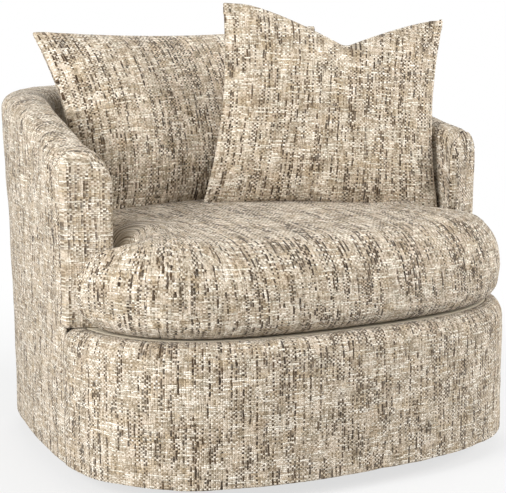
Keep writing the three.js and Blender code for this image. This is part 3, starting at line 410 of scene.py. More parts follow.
def cloth_half(name):
    """The half's own outline as a thin sheet that sags a little between its staples."""
    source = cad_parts[name]
    piece = bpy.data.objects.new(name + "_cloth", source.data.copy())
    bpy.context.collection.objects.link(piece)
    piece.data.materials.clear()
    piece.data.materials.append(dust_cloth)
    low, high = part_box(name)
    mesh = bmesh.new()
    mesh.from_mesh(piece.data)
    bmesh.ops.remove_doubles(mesh, verts=mesh.verts, dist=1e-5)
    for axis in (0, 1):
        for value in np.arange(low[axis] + dust_cell, high[axis], dust_cell):
            plane_normal = Vector((axis == 0, axis == 1, 0))
            everything = mesh.verts[:] + mesh.edges[:] + mesh.faces[:]
            cut = plane_normal * value
            bmesh.ops.bisect_plane(mesh, geom=everything, plane_co=cut, plane_no=plane_normal)
    edges = [e for e in mesh.edges if e.is_manifold and abs(e.calc_face_angle()) > 1]
    rim = {vertex for edge in edges for vertex in edge.verts}
    edge_points = np.array([vertex.co.to_tuple()[:2] for vertex in rim])
    for vertex in mesh.verts:
        if vertex not in rim:
            gap = np.linalg.norm(edge_points - np.array(vertex.co.to_tuple()[:2]), axis=1).min()
            share = min(gap / dust_sag_reach, 1)
            vertex.co.z -= dust_sag * share * (1.5 - share)
    mesh.to_mesh(piece.data)
    mesh.free()
    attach(piece, "chair")
    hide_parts(name)


cloth_half("front_dust_cover")
cloth_half("rear_dust_cover")


# Upholstered arms and back.
# Tweed over wadding on a board outside and over foam inside, pulled over the rim in one sweep. The
# arms meet the back in two upright seams behind. The cloth is a heavy slub tweed: cream and tan
# ground yarns, dark brown warp slubs that show as dashed lines, and short white weft slubs.

yarn_pitch = 0.0046
pick_pitch = 0.0039
slow_wander = 0.005
quick_wander = 0.0024
warp_dye_length = 0.04
weft_dye_length = 0.05
white_slub_length = 0.04
dark_slub_length = 0.075
weft_fibre_length = 0.013
warp_fibre_length = 0.02
weave_depth = 0.0018
cream_weft = shade_of(219, 208, 191)
tan_weft = shade_of(178, 162, 140)
ochre_weft = shade_of(182, 160, 124)
rosy_weft = shade_of(188, 168, 148)
tan_warp = shade_of(193, 178, 157)
brown_warp = shade_of(146, 128, 103)
grey_warp = shade_of(165, 154, 136)
white_slub = shade_of(233, 225, 209)
dark_slub = shade_of(52, 39, 27)
brown_slub = shade_of(88, 69, 48)

# Where each effect starts in its noise, and where it is full.
tan_warps = (0.36, 0.6)
cream_wefts = (0.36, 0.64)
ochre_patches = (0.53, 0.68)
rosy_patches = (0.56, 0.7)
grey_patches = (0.5, 0.66)
white_slubs = (0.56, 0.61)
hidden_warps = (0.3, 0.4)
dark_slubs = (-0.02, 0.05)
dark_over_weft = (0.62, 0.7)
kept_dashes = (0.06, 0.2)

# How far the shade varies: by crossing, by fleck, and by fibre of the weft and the warp.
crossing_range = (0.8, 1.2)
fleck_range = (0.74, 1.22)
weft_fibre_range = (0.8, 1.24)
warp_fibre_range = (0.7, 1.3)
dark_bias_range = (0.42, 0.7)
darkest = 0.1
lightest = 1.25
pale_powers = (1.0, 1.08, 1.26)


def tweed_group():
    """The tweed over cloth coordinates in metres: x across the warp, y along it."""
    inputs = {"Cloth": "Vector", "Dark Yarn": "Float", "Contrast": "Float", "Lightness": "Float"}
    outputs = {"Color": "Color", "Height": "Float", "Matt": "Float"}
    group, given, result = new_group("slub_tweed", inputs, outputs)

    def number(*values):
        """A white random number from up to three values."""
        together = node_of(group, "CombineXYZ", dict(enumerate(values))).outputs[0]
        return node_of(group, "TexWhiteNoise", {"Vector": together}, noise_dimensions="3D").outputs[0]

    def strands(x, y, detail=1.0):
        """Smooth noise over two values, with lumps of size 1."""
        together = node_of(group, "CombineXYZ", {0: x, 1: y}).outputs[0]
        return noise(group, together, 1.0, detail, dimensions="2D")

    def times(*values):
        product = values[0]
        for value in values[1:]:
            product = maths(group, "MULTIPLY", product, value)
        return product

    def per(value, size):
        return maths(group, "DIVIDE", value, size)

    def scaled(value, factor, offset):
        return maths(group, "MULTIPLY_ADD", value, factor, offset)

    def between(value, low, high):
        """Spreads a value of 0 to 1 over a range."""
        return scaled(value, high - low, low)

    def whole(value):
        return maths(group, "FLOOR", value)

    def off_middle(value):
        return maths(group, "ABSOLUTE", maths(group, "SUBTRACT", maths(group, "FRACT", value), 0.5))

    def step(value, start, end):
        return smooth_step(group, value, start, end)

    def vectors(operation, *values):
        return node_of(group, "VectorMath", dict(enumerate(values)), operation=operation).outputs[0]

    def drift(vector, scale, reach):
        cloud = noise(group, given["Cloth"], scale, 1, output="Color")
        centred = vectors("SUBTRACT", cloud, (0.5, 0.5, 0.5))
        return vectors("MULTIPLY_ADD", centred, (reach, reach, 0), vector)

    # The yarns wander a little.
    moved = drift(drift(given["Cloth"], 38, slow_wander), 200, quick_wander)
    across, along, _ = node_of(group, "SeparateXYZ", {0: moved}).outputs
    yarn = per(across, yarn_pitch)
    yarn_number = whole(yarn)
    pick = per(along, pick_pitch)
    pick_number = whole(pick)

    # Plain weave: warp and weft come to the top in turn.
    warp_wave = maths(group, "SINE", times(yarn, math.pi))
    weft_wave = maths(group, "SINE", times(pick, math.pi))
    crossing = times(warp_wave, weft_wave)
    warp_up = step(crossing, -0.5, 0.5)

    # Ground yarns: tan, brown and cream warp under a paler weft, space-dyed in soft patches.
    warp_tone = step(strands(times(yarn_number, 5.37), per(along, warp_dye_length)), *tan_warps)
    warp = dye_mix(group, warp_tone, brown_warp, tan_warp)
    weft_tone = step(strands(per(across, weft_dye_length), times(pick_number, 7.13)), *cream_wefts)
    weft = dye_mix(group, weft_tone, tan_weft, cream_weft)
    patch_across = times(whole(times(yarn, 0.5)), 0.22)
    patch_along = times(whole(times(pick, 0.5)), 0.26)
    ochre = step(strands(patch_across, patch_along), *ochre_patches)
    rosy = step(strands(patch_along, patch_across), *rosy_patches)
    weft = dye_mix(group, times(ochre, 0.5), weft, ochre_weft)
    weft = dye_mix(group, times(rosy, 0.4), weft, rosy_weft)
    grey = step(strands(times(pick_number, 0.12), times(yarn_number, 0.1), 2), *grey_patches)
    warp = dye_mix(group, times(grey, 0.6), warp, grey_warp)
    ground = dye_mix(group, warp_up, weft, warp)

    # White weft slubs lie across the warp and pass over most of it.
    slub = step(strands(per(across, white_slub_length), times(pick_number, 7.31)), *white_slubs)
    hidden_warp = step(number(yarn_number, pick_number, 1.0), *hidden_warps)
    over = maths(group, "MAXIMUM", step(crossing, 0.2, -0.2), hidden_warp)
    slub = times(slub, over, step(off_middle(pick), 0.42, 0.24))
    ground = dye_mix(group, times(slub, 0.85), ground, white_slub)

    # Every crossing differs, and curled fibres break the yarns up.
    half_yarn = whole(times(across, 2 / yarn_pitch))
    half_pick = whole(times(along, 2 / pick_pitch))
    weft_fibre = whole(scaled(number(half_pick, 12.0), 7.0, per(across, weft_fibre_length)))
    warp_fibre = whole(scaled(number(half_yarn, 13.0), 7.0, per(along, warp_fibre_length)))
    curls = noise(group, given["Cloth"], 620, 3, 0.65)
    shade = times(
        between(number(yarn_number, pick_number), *crossing_range),
        between(number(half_yarn, half_pick, 6.0), *fleck_range),
        between(number(weft_fibre, half_pick, 14.0), *weft_fibre_range),
        between(number(half_yarn, warp_fibre, 15.0), *warp_fibre_range),
        scaled(curls, 1.0, 0.5),
    )
    shade = scaled(maths(group, "SUBTRACT", shade, 1.0), given["Contrast"], 1.0)

    # Dark warp slubs run along some yarns for a hand's width and dip under the weft in dashes.
    bias = maths(group, "ADD", between(number(yarn_number, 11.0), *dark_bias_range), 0.225)
    bias = scaled(noise(group, given["Cloth"], 15, 1), -0.5, bias)
    streak = strands(times(yarn_number, 5.17), per(along, dark_slub_length))
    streak = maths(group, "ADD", maths(group, "SUBTRACT", streak, bias), given["Dark Yarn"])
    streak = step(streak, *dark_slubs)
    thick = step(number(yarn_number, whole(times(pick, 0.5)), 2.0), *dark_over_weft)
    shown = maths(group, "MAXIMUM", warp_up, thick)
    kept = step(number(yarn_number, pick_number, 4.0), *kept_dashes)
    dark = times(streak, shown, kept, step(off_middle(yarn), 0.5, 0.4))
    browns = number(yarn_number, whole(times(pick, 0.25)), 8.0)
    brown = dye_mix(group, browns, dark_slub, brown_slub)
    strength = times(given["Contrast"], between(number(yarn_number, 9.0), 0.8, 1.0))
    colour = dye_mix(group, times(dark, strength), ground, brown)

    # The dye lot varies softly over the roll, and dark cloth is warmer than pale cloth.
    shade = times(shade, scaled(noise(group, given["Cloth"], 24, 3), 1.0, 0.5))
    shade = maths(group, "MINIMUM", maths(group, "MAXIMUM", shade, darkest), lightest)
    tints = [maths(group, "POWER", shade, power) for power in pale_powers]
    tint = node_of(group, "CombineXYZ", dict(enumerate(tints))).outputs[0]
    # The last scale is painted light and shade: it makes a whole piece paler or darker for the light that
    # falls on it.
    lit = {0: vectors("MULTIPLY", colour, tint), "Scale": given["Lightness"]}
    body = scaled(slub, 0.4, maths(group, "ABSOLUTE", crossing))
    feed(group, result, {
        "Color": node_of(group, "VectorMath", lit, operation="SCALE").outputs[0],
        "Height": scaled(curls, 0.9, body),
        "Matt": scaled(curls, 0.2, 0.78),
    })
    return group


slub_tweed = tweed_group()


def tweed(name, start, dark_yarn=0.0, contrast=1.0, painted_light=1.0):
    """Tweed cut from its own place on the roll, so that no two pieces repeat each other."""
    # The overall lightness factor is painted light and shade: it makes the piece paler or darker in place
    # of the light that falls on it, so the pieces are lit and shaded copies of one tweed.
    material, tree, shader = new_material(name)
    cloth = node_of(tree, "Attribute", attribute_name="cloth").outputs["Vector"]
    cut = node_of(tree, "VectorMath", {0: cloth, 1: (start, 2 * start, 0)}, operation="ADD").outputs[0]
    inputs = {"Cloth": cut, "Dark Yarn": dark_yarn, "Contrast": contrast, "Lightness": painted_light}
    weave = node_of(tree, "Group", inputs, node_tree=slub_tweed).outputs
    feed(tree, shader, {
        "Base Color": weave["Color"],
        "Roughness": weave["Matt"],
        "Normal": bump(tree, weave["Height"], weave_depth, 0.7),
        "Sheen Weight": 0.12,
        "Sheen Roughness": 0.5,
        "Specular IOR Level": 0.2,
    })
    return material


# Plan of the body at the hem, about the swivel axis.
half_width = 0.526
front_reach = 0.493
back_reach = 0.5
narrowing_share = 0.152
narrowing_start_share = 0.5
front_squareness = 2.63
back_squareness = 4
lean_run = 0.33
swivel_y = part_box("front_border")[0].y + front_reach
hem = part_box("back_upholstery")[0].z
back_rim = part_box("back_upholstery")[1].z
deck_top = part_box("deck_pad")[1].z
arm_rim = 0.666
back_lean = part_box("back_upholstery")[1].y - swivel_y - back_reach

# A short pleat on the left arm's shoulder, and a second one on the front panel below it.
pleat_turns = (0.0, 0.079, 0.248, 0.311)
pleat_ys = (-0.088, -0.099, -0.121, -0.129)
pleat_width = 0.0045
pleat_depth = 0.004

# Walls and rim.
sweep_front_y = -0.2
sweep_back_y = 0.25
panel_thickness = 0.013
padding_inset = 0.045
arm_wall = 0.088
back_wall = 0.115
wall_grow_front_y = 0.06
wall_grow_back_y = 0.42
rim_shoulder = 0.046
rim_pad = 0.07
rim_round_power = 0.75
wall_split_y = 0.4
arm_front_y = -0.15
arm_front_slant = 0.048
arm_front_thickness = 0.014
arm_front_round = 0.06
arm_outer_round = 0.024
hem_roll = 0.0035
hem_drop = 0.003
seam_gap = 0.0006
grid_step = 0.006
table_steps = 24
turn_step = 1e-3


def plan_curve(angle):
    """The squared oval of the hem, which narrows towards the back."""
    c, s = np.cos(angle), np.sin(angle)
    power = np.where(s < 0, front_squareness, back_squareness)
    reach = np.where(s < 0, front_reach, back_reach)
    size = (np.abs(c / half_width) ** power + np.abs(s / reach) ** power) ** (-1 / power)
    narrowing = 1 - narrowing_share * (size * s / front_reach + narrowing_start_share)
    return np.stack([size * c * narrowing, size * s], -1)


def plan_inset(angle, inset):
    """Points of the plan, moved inwards square to it."""
    along = unit(plan_curve(angle + turn_step) - plan_curve(angle - turn_step))
    inward = np.stack([-along[..., 1], along[..., 0]], -1)
    return plan_curve(angle) + inward * np.asarray(inset)[..., None]


def wall_point(angle, inset, height):
    """A point of the wall, with the back's lean."""
    angle, inset, height = np.broadcast_arrays(angle, inset, height)
    x, y = np.moveaxis(plan_inset(angle, inset), -1, 0)
    ramp = np.sin(np.clip(y / lean_run, 0, 1) * math.pi / 2)
    climb = (height - hem) / (back_rim - hem)
    return np.stack([x, y + back_lean * climb * ramp + swivel_y, height], -1)


half_turn = np.linspace(-math.pi / 2, math.pi / 2, 1800)


def angle_at_y(y, inset=0.0):
    """The polar angle on the right side at which an inset line crosses y."""
    line = plan_inset(half_turn, np.full_like(half_turn, inset))[:, 1]
    return np.interp(y, line, half_turn)


def run_along(line):
    """The length of a line from its start to each of its points."""
    steps = np.linalg.norm(np.diff(line, axis=-2), axis=-1)
    return np.concatenate([np.zeros(steps.shape[:-1] + (1,)), np.cumsum(steps, axis=-1)], -1)


whole_turn = np.linspace(-math.pi, math.pi, 7200)
plan_run = run_along(plan_curve(whole_turn))


def run_of(angle):
    """The length of the hem from the left end of the plan's cross axis to an angle."""
    return np.interp(angle, whole_turn, plan_run)


def angle_of(run):
    return np.interp(run, plan_run, whole_turn)


def smooth(share):
    share = np.clip(share, 0, 1)
    return share * share * (3 - 2 * share)


def rim_height(y):
    return arm_rim + (back_rim - arm_rim) * smooth((y - sweep_front_y) / (sweep_back_y - sweep_front_y))


def wall_thickness(y):
    grown = smooth((y - wall_grow_front_y) / (wall_grow_back_y - wall_grow_front_y))
    return arm_wall + (back_wall - arm_wall) * grown


def round_at(inset):
    """The radius of the rim's turn at the arm's front: tight outside, wide inside."""
    share = np.clip(np.asarray(inset) / arm_wall, 0, 1)
    return arm_outer_round + (arm_front_round - arm_outer_round) * smooth(share)


def front_drop(distance, inset):
    """How far the rim has come down at a distance behind the arm's front."""
    radius = round_at(inset)
    rest = np.clip(radius - np.maximum(distance, 0), 0, None)
    return radius - np.sqrt(radius**2 - rest**2)


lattice_size = (61, 67)


def uneven(u, v, size, seed):
    """Smooth lumps from -1 to 1 over cloth coordinates."""
    lattice = np.random.RandomState(seed).uniform(-1, 1, lattice_size)
    place = np.stack([u, v]) / size
    cell = np.floor(place).astype(int)
    across, along = smooth(place - cell)

    def corner(right, up):
        return lattice[(cell[0] + right) % lattice_size[0], (cell[1] + up) % lattice_size[1]]

    near = corner(0, 0) * (1 - across) + corner(1, 0) * across
    far = corner(0, 1) * (1 - across) + corner(1, 1) * across
    return near * (1 - along) + far * along


def grid_normals(points):
    """Normals of a grid of points whose second direction is a closed loop."""
    down = np.gradient(points, axis=0)
    across = (np.roll(points, -1, axis=1) - np.roll(points, 1, axis=1)) / 2
    return unit(np.cross(down, across))


def lay_cloth(piece, u, v):
    """Stores each point's place on the cloth, in metres, for the weave."""
    values = np.stack([np.ravel(u), np.ravel(v), np.zeros(np.size(u))], -1)
    layer = piece.data.attributes.new("cloth", "FLOAT_VECTOR", "POINT")
    layer.data.foreach_set("vector", values.astype(np.float32).ravel())


def upholstered(piece, node):
    """Fixes a padded cover of tweed to the chair in place of its CAD node."""
    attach(piece, "chair")
    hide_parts(node)


outside_steps = 92
rim_steps = 30
inside_steps = 50
roll_steps = 5


def wall_section(y, distance):
    """Insets and heights of the section's points for each station, and which of them show."""
    thickness = wall_thickness(y)[:, None]
    rim = rim_height(y)[:, None]
    behind = distance[:, None]
    outside = np.linspace(0, 1, outside_steps)[None, 1:]
    turn = np.linspace(0, math.pi, rim_steps)[None, 1:-1]
    inside = np.linspace(1, 0, inside_steps)[None, :]
    roll = np.linspace(math.pi, 1.5 * math.pi, roll_steps)[None, ::-1]
    across = np.sign(np.cos(turn)) * np.abs(np.cos(turn)) ** rim_round_power
    up = np.sin(turn) ** rim_round_power
    zero = np.zeros_like(thickness)
    foot = hem - hem_drop + hem_roll
    over = thickness / 2 * (1 - across)
    outer_shoulder = rim - rim_shoulder - front_drop(behind, zero)
    inner_shoulder = rim - rim_shoulder - front_drop(behind, thickness)
    ceiling = inner_shoulder - rim_pad + rim_shoulder
    insets = [
        zero + hem_roll * (1 + np.cos(roll)), zero + 0 * outside, over, thickness + 0 * inside,
        zero + padding_inset, zero + padding_inset, zero + panel_thickness, zero + panel_thickness,
    ]
    heights = [
        zero + foot + hem_roll * np.sin(roll),
        foot + (outer_shoulder - foot) * outside,
        rim - front_drop(behind, over) - rim_shoulder * (1 - up),
        deck_top + (inner_shoulder - deck_top) * inside,
        zero + deck_top, ceiling, ceiling, zero + hem,
    ]
    shown = np.concatenate([np.ones(sum(part.shape[1] for part in insets[:4])), np.zeros(4)])
    return np.concatenate(insets, 1), np.concatenate(heights, 1), shown


def turned_over(faces):
    return [tuple(reversed(face)) for face in faces]


def wall_piece(name, angles, distance, side, material, details):
    """Sweeps the wall's section past the stations. angles is one row of insets for each station."""
    y = plan_curve(angles(0.0))[:, 1]
    insets, heights, shown = wall_section(y, distance)
    points = wall_point(angles(insets), insets, heights)
    u = run_of(angles(0.0))[:, None] + 0 * insets
    v = run_along(points)
    lift = details(u, v, insets, heights, y)
    points = points + grid_normals(points) * (lift * shown)[..., None]
    points[..., 0] *= side
    count = insets.shape[1]
    faces = tube_faces(len(y), count)
    if side > 0:
        faces = turned_over(faces)
    piece = add_mesh(name + "_cover", points, faces, material)
    lay_cloth(piece, u, v)
    upholstered(piece, name)


def seam_tuck(distance, depth=0.0035, width=0.009):
    """A sewn edge draws in over a short width."""
    return -depth * (1 - np.clip(distance / width, 0, 1)) ** 2


wadding_heights = (0.0016, 0.0008, 0.0004)
wadding_sizes = (0.11, 0.035, 0.006)


def padded_lift(u, v, seed):
    """The unevenness of wadding under cloth, and the nubs of the cloth itself."""
    lumps = enumerate(zip(wadding_heights, wadding_sizes))
    return sum(height * uneven(u, v, size, seed + k) for k, (height, size) in lumps)


arm_end_tuck = 0.001
arm_slant_run = 0.12
pleat_end = 0.27
pleat_fade = 0.08
left_arm_fullness = -0.004
left_arm_flare = 0.001
right_arm_flare = 0.005


def slanted_angles(insets, end_y=arm_front_y):
    """The polar angles at which the arm's slanted front end crosses a row of insets."""
    return [angle_at_y(end_y - arm_front_slant * inset / arm_wall, inset) for inset in insets]


def arm(side, name, seed, material, fullness, flare, pleat=0.0):
    front = run_of(angle_at_y(arm_front_y))
    back = run_of(angle_at_y(wall_split_y))
    count = int((back - front) / grid_step)
    runs = np.linspace(front, back, count)
    insets_known = np.linspace(0, back_wall, table_steps)
    ends = run_of(slanted_angles(insets_known))

    def angles(inset):
        """The stations fan out from the slanted front end."""
        inset = np.asarray(inset)
        lead = np.interp(inset, insets_known, ends) - front
        stations = runs if inset.ndim == 0 else runs[:, None]
        fade = 1 - smooth((stations - front) / arm_slant_run)
        return angle_of(stations + lead * fade)

    def details(u, v, insets, heights, y):
        ends_tuck = seam_tuck(u - front, arm_end_tuck) + seam_tuck(back - u)
        full = fullness * np.sin(math.pi * np.clip(heights / rim_height(y)[:, None], 0, 1))
        leaning = flare * smooth((heights - deck_top) / (arm_rim - deck_top))
        across = 1 - 2 * np.clip(insets / wall_thickness(y)[:, None], 0, 0.5)
        turned = np.arccos(across ** (1 / rim_round_power)) / math.pi
        fold = np.exp(-(((y[:, None] - np.interp(turned, pleat_turns, pleat_ys)) / pleat_width) ** 2))
        fold *= (heights > arm_rim - 2 * rim_shoulder) * (1 - smooth((turned - pleat_end) / pleat_fade))
        lift = padded_lift(u, v, seed) + ends_tuck - pleat * fold
        return lift + (full + leaning) * (insets < hem_roll)

    distance = plan_curve(angle_of(runs))[:, 1] - arm_front_y + arm_front_thickness
    wall_piece(name, angles, distance, side, material, details)


body_tweed = tweed("body_tweed", 0.0)
left_arm_tweed = tweed("left_arm_tweed", 2.3, dark_yarn=-0.05, contrast=1.1)
# The right arm's tweed is made a little darker: painted shade.
right_arm_tweed = tweed("right_arm_tweed", 3.1, dark_yarn=0.02, contrast=1.05, painted_light=0.96)
arm(-1, "left_arm_upholstery", 10, left_arm_tweed, left_arm_fullness, left_arm_flare, pleat_depth)
arm(1, "right_arm_upholstery", 20, right_arm_tweed, 0.0, right_arm_flare)


def back():
    start = run_of(angle_at_y(wall_split_y)) + seam_gap
    end = run_of(math.pi - angle_at_y(wall_split_y)) - seam_gap
    runs = np.linspace(start, end, int((end - start) / grid_step))

    def angles(inset):
        return angle_of(runs if np.ndim(inset) == 0 else runs[:, None]) + 0 * np.asarray(inset)

    def details(u, v, insets, heights, y):
        return padded_lift(u, v, 30) + seam_tuck(u - start) + seam_tuck(end - u)

    wall_piece("back_upholstery", angles, 0 * runs + 1, 1, body_tweed, details)


back()


# Arm front panels.
# The rim's cloth comes down over the front of each arm on a thin pad and is closed to the outside
# panel by a seam. The front edge is soft and the inner edge rounds into the inside of the arm.

panel_edge_round = 0.016
panel_seam_round = 0.0035
panel_columns = 26
panel_rows = 64
panel_gap = 0.0003
panel_front_lift = 0.0006
panel_lump_height = 0.0012
panel_lump_size = 0.05
panel_pleat_width = 0.003
panel_pleat_end = 0.28
panel_pleat_fade = 0.1
panel_pleat_shares = (0.0, 0.064, 0.161, 0.296)
panel_pleat_heights = (0.6456, 0.6523, 0.6542, 0.6542)


def quarter_round(distance, radius):
    """A quarter circle that rises from 0 at an edge to 1."""
    share = 1 - np.clip(distance / radius, 0, 1)
    return np.sqrt(np.clip(1 - share**2, 0, 1))


def pad_faces(rows, columns):
    """Faces of a flat pad: a front and a rear grid of points, closed round their rim."""
    def number(layer, row, column):
        return (layer * rows + row) * columns + column

    faces = []
    for i in range(rows - 1):
        for j in range(columns - 1):
            quad = [(i, j), (i + 1, j), (i + 1, j + 1), (i, j + 1)]
            faces.append(tuple(number(0, *corner) for corner in quad))
            faces.append(tuple(number(1, *corner) for corner in reversed(quad)))
    rim = [(i, 0) for i in range(rows - 1)] + [(rows - 1, j) for j in range(columns - 1)]
    rim += [(i, columns - 1) for i in range(rows - 1, 0, -1)] + [(0, j) for j in range(columns - 1, 0, -1)]
    for first, second in zip(rim, rim[1:] + rim[:1]):
        faces.append((number(0, *second), number(0, *first), number(1, *first), number(1, *second)))
    return faces


def arm_front_panel(side, name, seed, material, flare, pleat=0.0):
    spread = (1 - np.cos(np.linspace(0, math.pi, panel_columns))) / 2
    rise = np.sin(np.linspace(0, math.pi / 2, panel_rows))
    share, climb = np.meshgrid(spread, rise, indexing="ij")
    inset = share * arm_wall
    turn_up = (1 - np.abs(1 - 2 * share) ** (2 / rim_round_power)) ** (rim_round_power / 2)
    crest = rim_height(arm_front_y) - rim_shoulder * (1 - turn_up)
    radius = round_at(inset)
    foot = deck_top + panel_gap
    height = foot + climb * (crest - front_drop(arm_front_thickness, inset) - foot)
    fallen = np.clip(crest - height, 0, radius)
    behind = radius - np.sqrt(radius**2 - (radius - fallen) ** 2)
    rounded = np.clip(1 - behind / arm_front_thickness, 0, 1)
    edges = quarter_round(inset, panel_seam_round) * quarter_round(arm_wall - inset, panel_edge_round)
    edges = edges * rounded
    insets_known = np.linspace(0, arm_wall, table_steps)
    angles = np.interp(inset, insets_known, slanted_angles(insets_known))
    base = wall_point(angles, inset, height)
    base[..., 0] += flare * (1 - share) * smooth((height - deck_top) / (arm_rim - deck_top))
    u = run_of(angle_at_y(arm_front_y)) - inset
    v = height - hem
    fold_at = np.interp(share, panel_pleat_shares, panel_pleat_heights)
    fold = np.exp(-(((height - fold_at) / panel_pleat_width) ** 2))
    fold *= 1 - smooth((share - panel_pleat_end) / panel_pleat_fade)
    soft = panel_lump_height * uneven(u, v, panel_lump_size, seed) * edges - pleat * fold
    front = base.copy()
    front[..., 1] -= arm_front_thickness * edges + soft + panel_front_lift
    rear = base.copy()
    rear[..., 1] -= panel_gap
    points = np.stack([front, rear])
    points[..., 0] *= side
    faces = pad_faces(*share.shape)
    if side < 0:
        faces = turned_over(faces)
    piece = add_mesh(name + "_cover", points, faces, material)
    lay_cloth(piece, np.stack([u, u]), np.stack([v, v]))
    upholstered(piece, name)


# The left front panel's tweed is made darker: painted shade for a panel that faces the light.
left_panel_tweed = tweed("left_panel_tweed", 4.7, dark_yarn=-0.01, contrast=0.85, painted_light=0.93)
arm_front_panel(-1, "left_arm_front_panel", 40, left_panel_tweed, left_arm_flare, pleat_depth)
arm_front_panel(1, "right_arm_front_panel", 45, right_arm_tweed, right_arm_flare)


# Front border.
# A padded band of tweed wraps the front below the cushion, from one arm's seam round to the
# other's. Its top edge is a soft roll, and its hem turns under on the hem rail.

border_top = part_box("front_border")[1].z
border_roll_depth = 0.026
border_roll_height = 0.036
border_top_gap = 0.0008
border_seam_gap = 0.0003
border_fullness = 0.001
border_fan_power = 9
border_face_steps = 46
lip_inset = 0.036
lip_thickness = 0.011
lip_back = 0.0175


def front_border():
    seam_y = arm_front_y - border_seam_gap
    right_angle = angle_at_y(seam_y)
    left_angle = -math.pi - right_angle
    length = 2 * (run_of(right_angle) - run_of(-math.pi / 2))
    angles = np.linspace(left_angle, right_angle, int(length / grid_step))
    foot = np.linspace(math.pi, 1.5 * math.pi, 5)[::-1]
    head = np.linspace(math.pi, math.pi / 2, 9)
    face = np.linspace(0, 1, border_face_steps)[1:-1]
    lip = np.linspace(border_roll_depth, lip_inset, 4)[1:]
    low, high = hem - hem_drop + hem_roll, deck_top - border_top_gap - border_roll_height
    inset = np.concatenate([
        hem_roll * (1 + np.cos(foot)), 0 * face, border_roll_depth * (1 + np.cos(head)), lip,
        [lip_inset, panel_thickness, panel_thickness],
    ])
    height = np.concatenate([
        low + hem_roll * np.sin(foot), low + (high - low) * face,
        high + border_roll_height * np.sin(head), 0 * lip + high + border_roll_height,
        [deck_top - lip_thickness, deck_top - lip_back, hem],
    ])

    # The ends follow the slanted fronts of the arms.
    insets_known = np.linspace(0, lip_inset, 5)
    lead = np.array(slanted_angles(insets_known, seam_y)) - right_angle
    slant = np.interp(inset, insets_known, lead)
    place = (angles - angles[0]) / (angles[-1] - angles[0])
    fan = np.clip(2 * place - 1, -1, 1)[:, None] ** border_fan_power * slant[None, :]
    points = wall_point(angles[:, None] + fan, inset[None, :], height[None, :])
    run = run_along(plan_curve(angles))
    u = run[:, None] + 0 * inset[None, :]
    v = run_along(points)
    hidden = len(lip) + 3
    shown = np.concatenate([np.ones(len(inset) - hidden), np.zeros(hidden)])
    lift = padded_lift(u, v, 50) + seam_tuck(u, arm_end_tuck) + seam_tuck(run[-1] - u, arm_end_tuck)
    climb = np.clip((height - hem) / (border_top - hem), 0, 1)
    lift = lift + border_fullness * np.sin(math.pi * climb)[None, :]
    points = points + grid_normals(points) * (lift * shown)[..., None]
    faces = turned_over(tube_faces(len(angles), len(inset)))
    # The border's tweed is made a little darker: painted shade.
    border_tweed = tweed("border_tweed", 1.7, painted_light=0.975)
    piece = add_mesh("front_border_cover", points, faces, border_tweed)
    lay_cloth(piece, u, v)
    upholstered(piece, "front_border")


front_border()


# Deck pad.
# Felt under natural cotton deck cloth, pulled over the sinuous springs and tacked behind the
# border's roll. It carries the seat cushion and shows only where the cushion leaves a gap.

deck_edge = 0.004
deck_behind_lip = 0.0006
deck_sides = 240
deck_middle_share = 0.02
deck_dip = 0.0012
deck_dip_share = 0.2
deck_lump_size = 0.07
deck_weave_depth = 0.0006


def deck_cloth():
    material, tree, shader = new_material("deck_cloth")
    threads = {"Vector": place_of(tree), "Scale": 180, "Distortion": 1.5}
    across, along = [node_of(tree, "TexWave", threads, bands_direction=way).outputs[1] for way in "XY"]
    weave = maths(tree, "MULTIPLY", across, along)
    stain = noise(tree, place_of(tree), 12, 3)
    feed(tree, shader, {
        "Base Color": dye_mix(tree, stain, shade_of(206, 196, 176), shade_of(186, 174, 152)),
        "Normal": bump(tree, weave, deck_weave_depth),
        "Roughness": maths(tree, "MULTIPLY_ADD", weave, 0.1, 0.85),
    })
    return material


def deck_pad():
    """Rings shrink from the pad's edge to its middle, so the top can dip between the springs."""
    low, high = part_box("deck_pad")
    angles = np.linspace(-math.pi, math.pi, deck_sides, endpoint=False)
    front = plan_curve(angles)[:, 1] < arm_front_y
    edge = np.where(front, lip_inset + deck_behind_lip, padding_inset)
    line = plan_inset(angles, edge) + [0, swivel_y]
    hub = np.array([0, swivel_y])
    rings = [(deck_middle_share, low.z), (0.97, low.z), (1.0, low.z)]
    for turn in np.linspace(0, math.pi / 2, 6):
        share = 1 - deck_edge * (1 - math.cos(turn)) / half_width
        rings.append((share, high.z - deck_edge * (1 - math.sin(turn))))
    rings += [(share, high.z) for share in np.linspace(0.95, deck_middle_share, 30)]
    points = []
    for share, height in rings:
        ring = hub + (line - hub) * share
        lumps = 0.5 + 0.5 * uneven(ring[:, 0], ring[:, 1], deck_lump_size, 90)
        dip = deck_dip * smooth((1 - share) / deck_dip_share) * lumps
        points.append(np.column_stack([ring, height - dip * (height > high.z - 1e-6)]))
    piece = add_mesh("deck_pad_cloth", points, tube_faces(len(rings), len(angles)), deck_cloth())
    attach(piece, "chair")
    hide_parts("deck_pad")


deck_pad()


# Seat cushion.
# One thick crowned cushion in the shape of a T: its ears lie in front of the arms, and its front
# is a bullnose, with the top cloth running down over it. Foam wrapped in fibre, blown up by its fill.

seat_inset = 0.008
seat_ear_inset = 0.001
seat_ear_start_x = 0.2
seat_ear_run = 0.2
seat_side_gap = 0.008
seat_ear_gap = 0.012
seat_ear_chamfer = 0.014
seat_ear_slant = 0.8
seat_height = 0.153
seat_equator = 0.06
seat_lift = 0.002
seat_tuck = 0.045
seat_tuck_power = 1.7
seat_corner = 0.014
seat_nose = 0.075
seat_nose_power = 0.9
seat_nose_start_y = -0.15
seat_nose_run = 0.08
seat_side_round = 0.03
seat_ring_step = 0.006
seat_lower_rings = 10
seat_upper_rings = 12
inset_step = 0.002

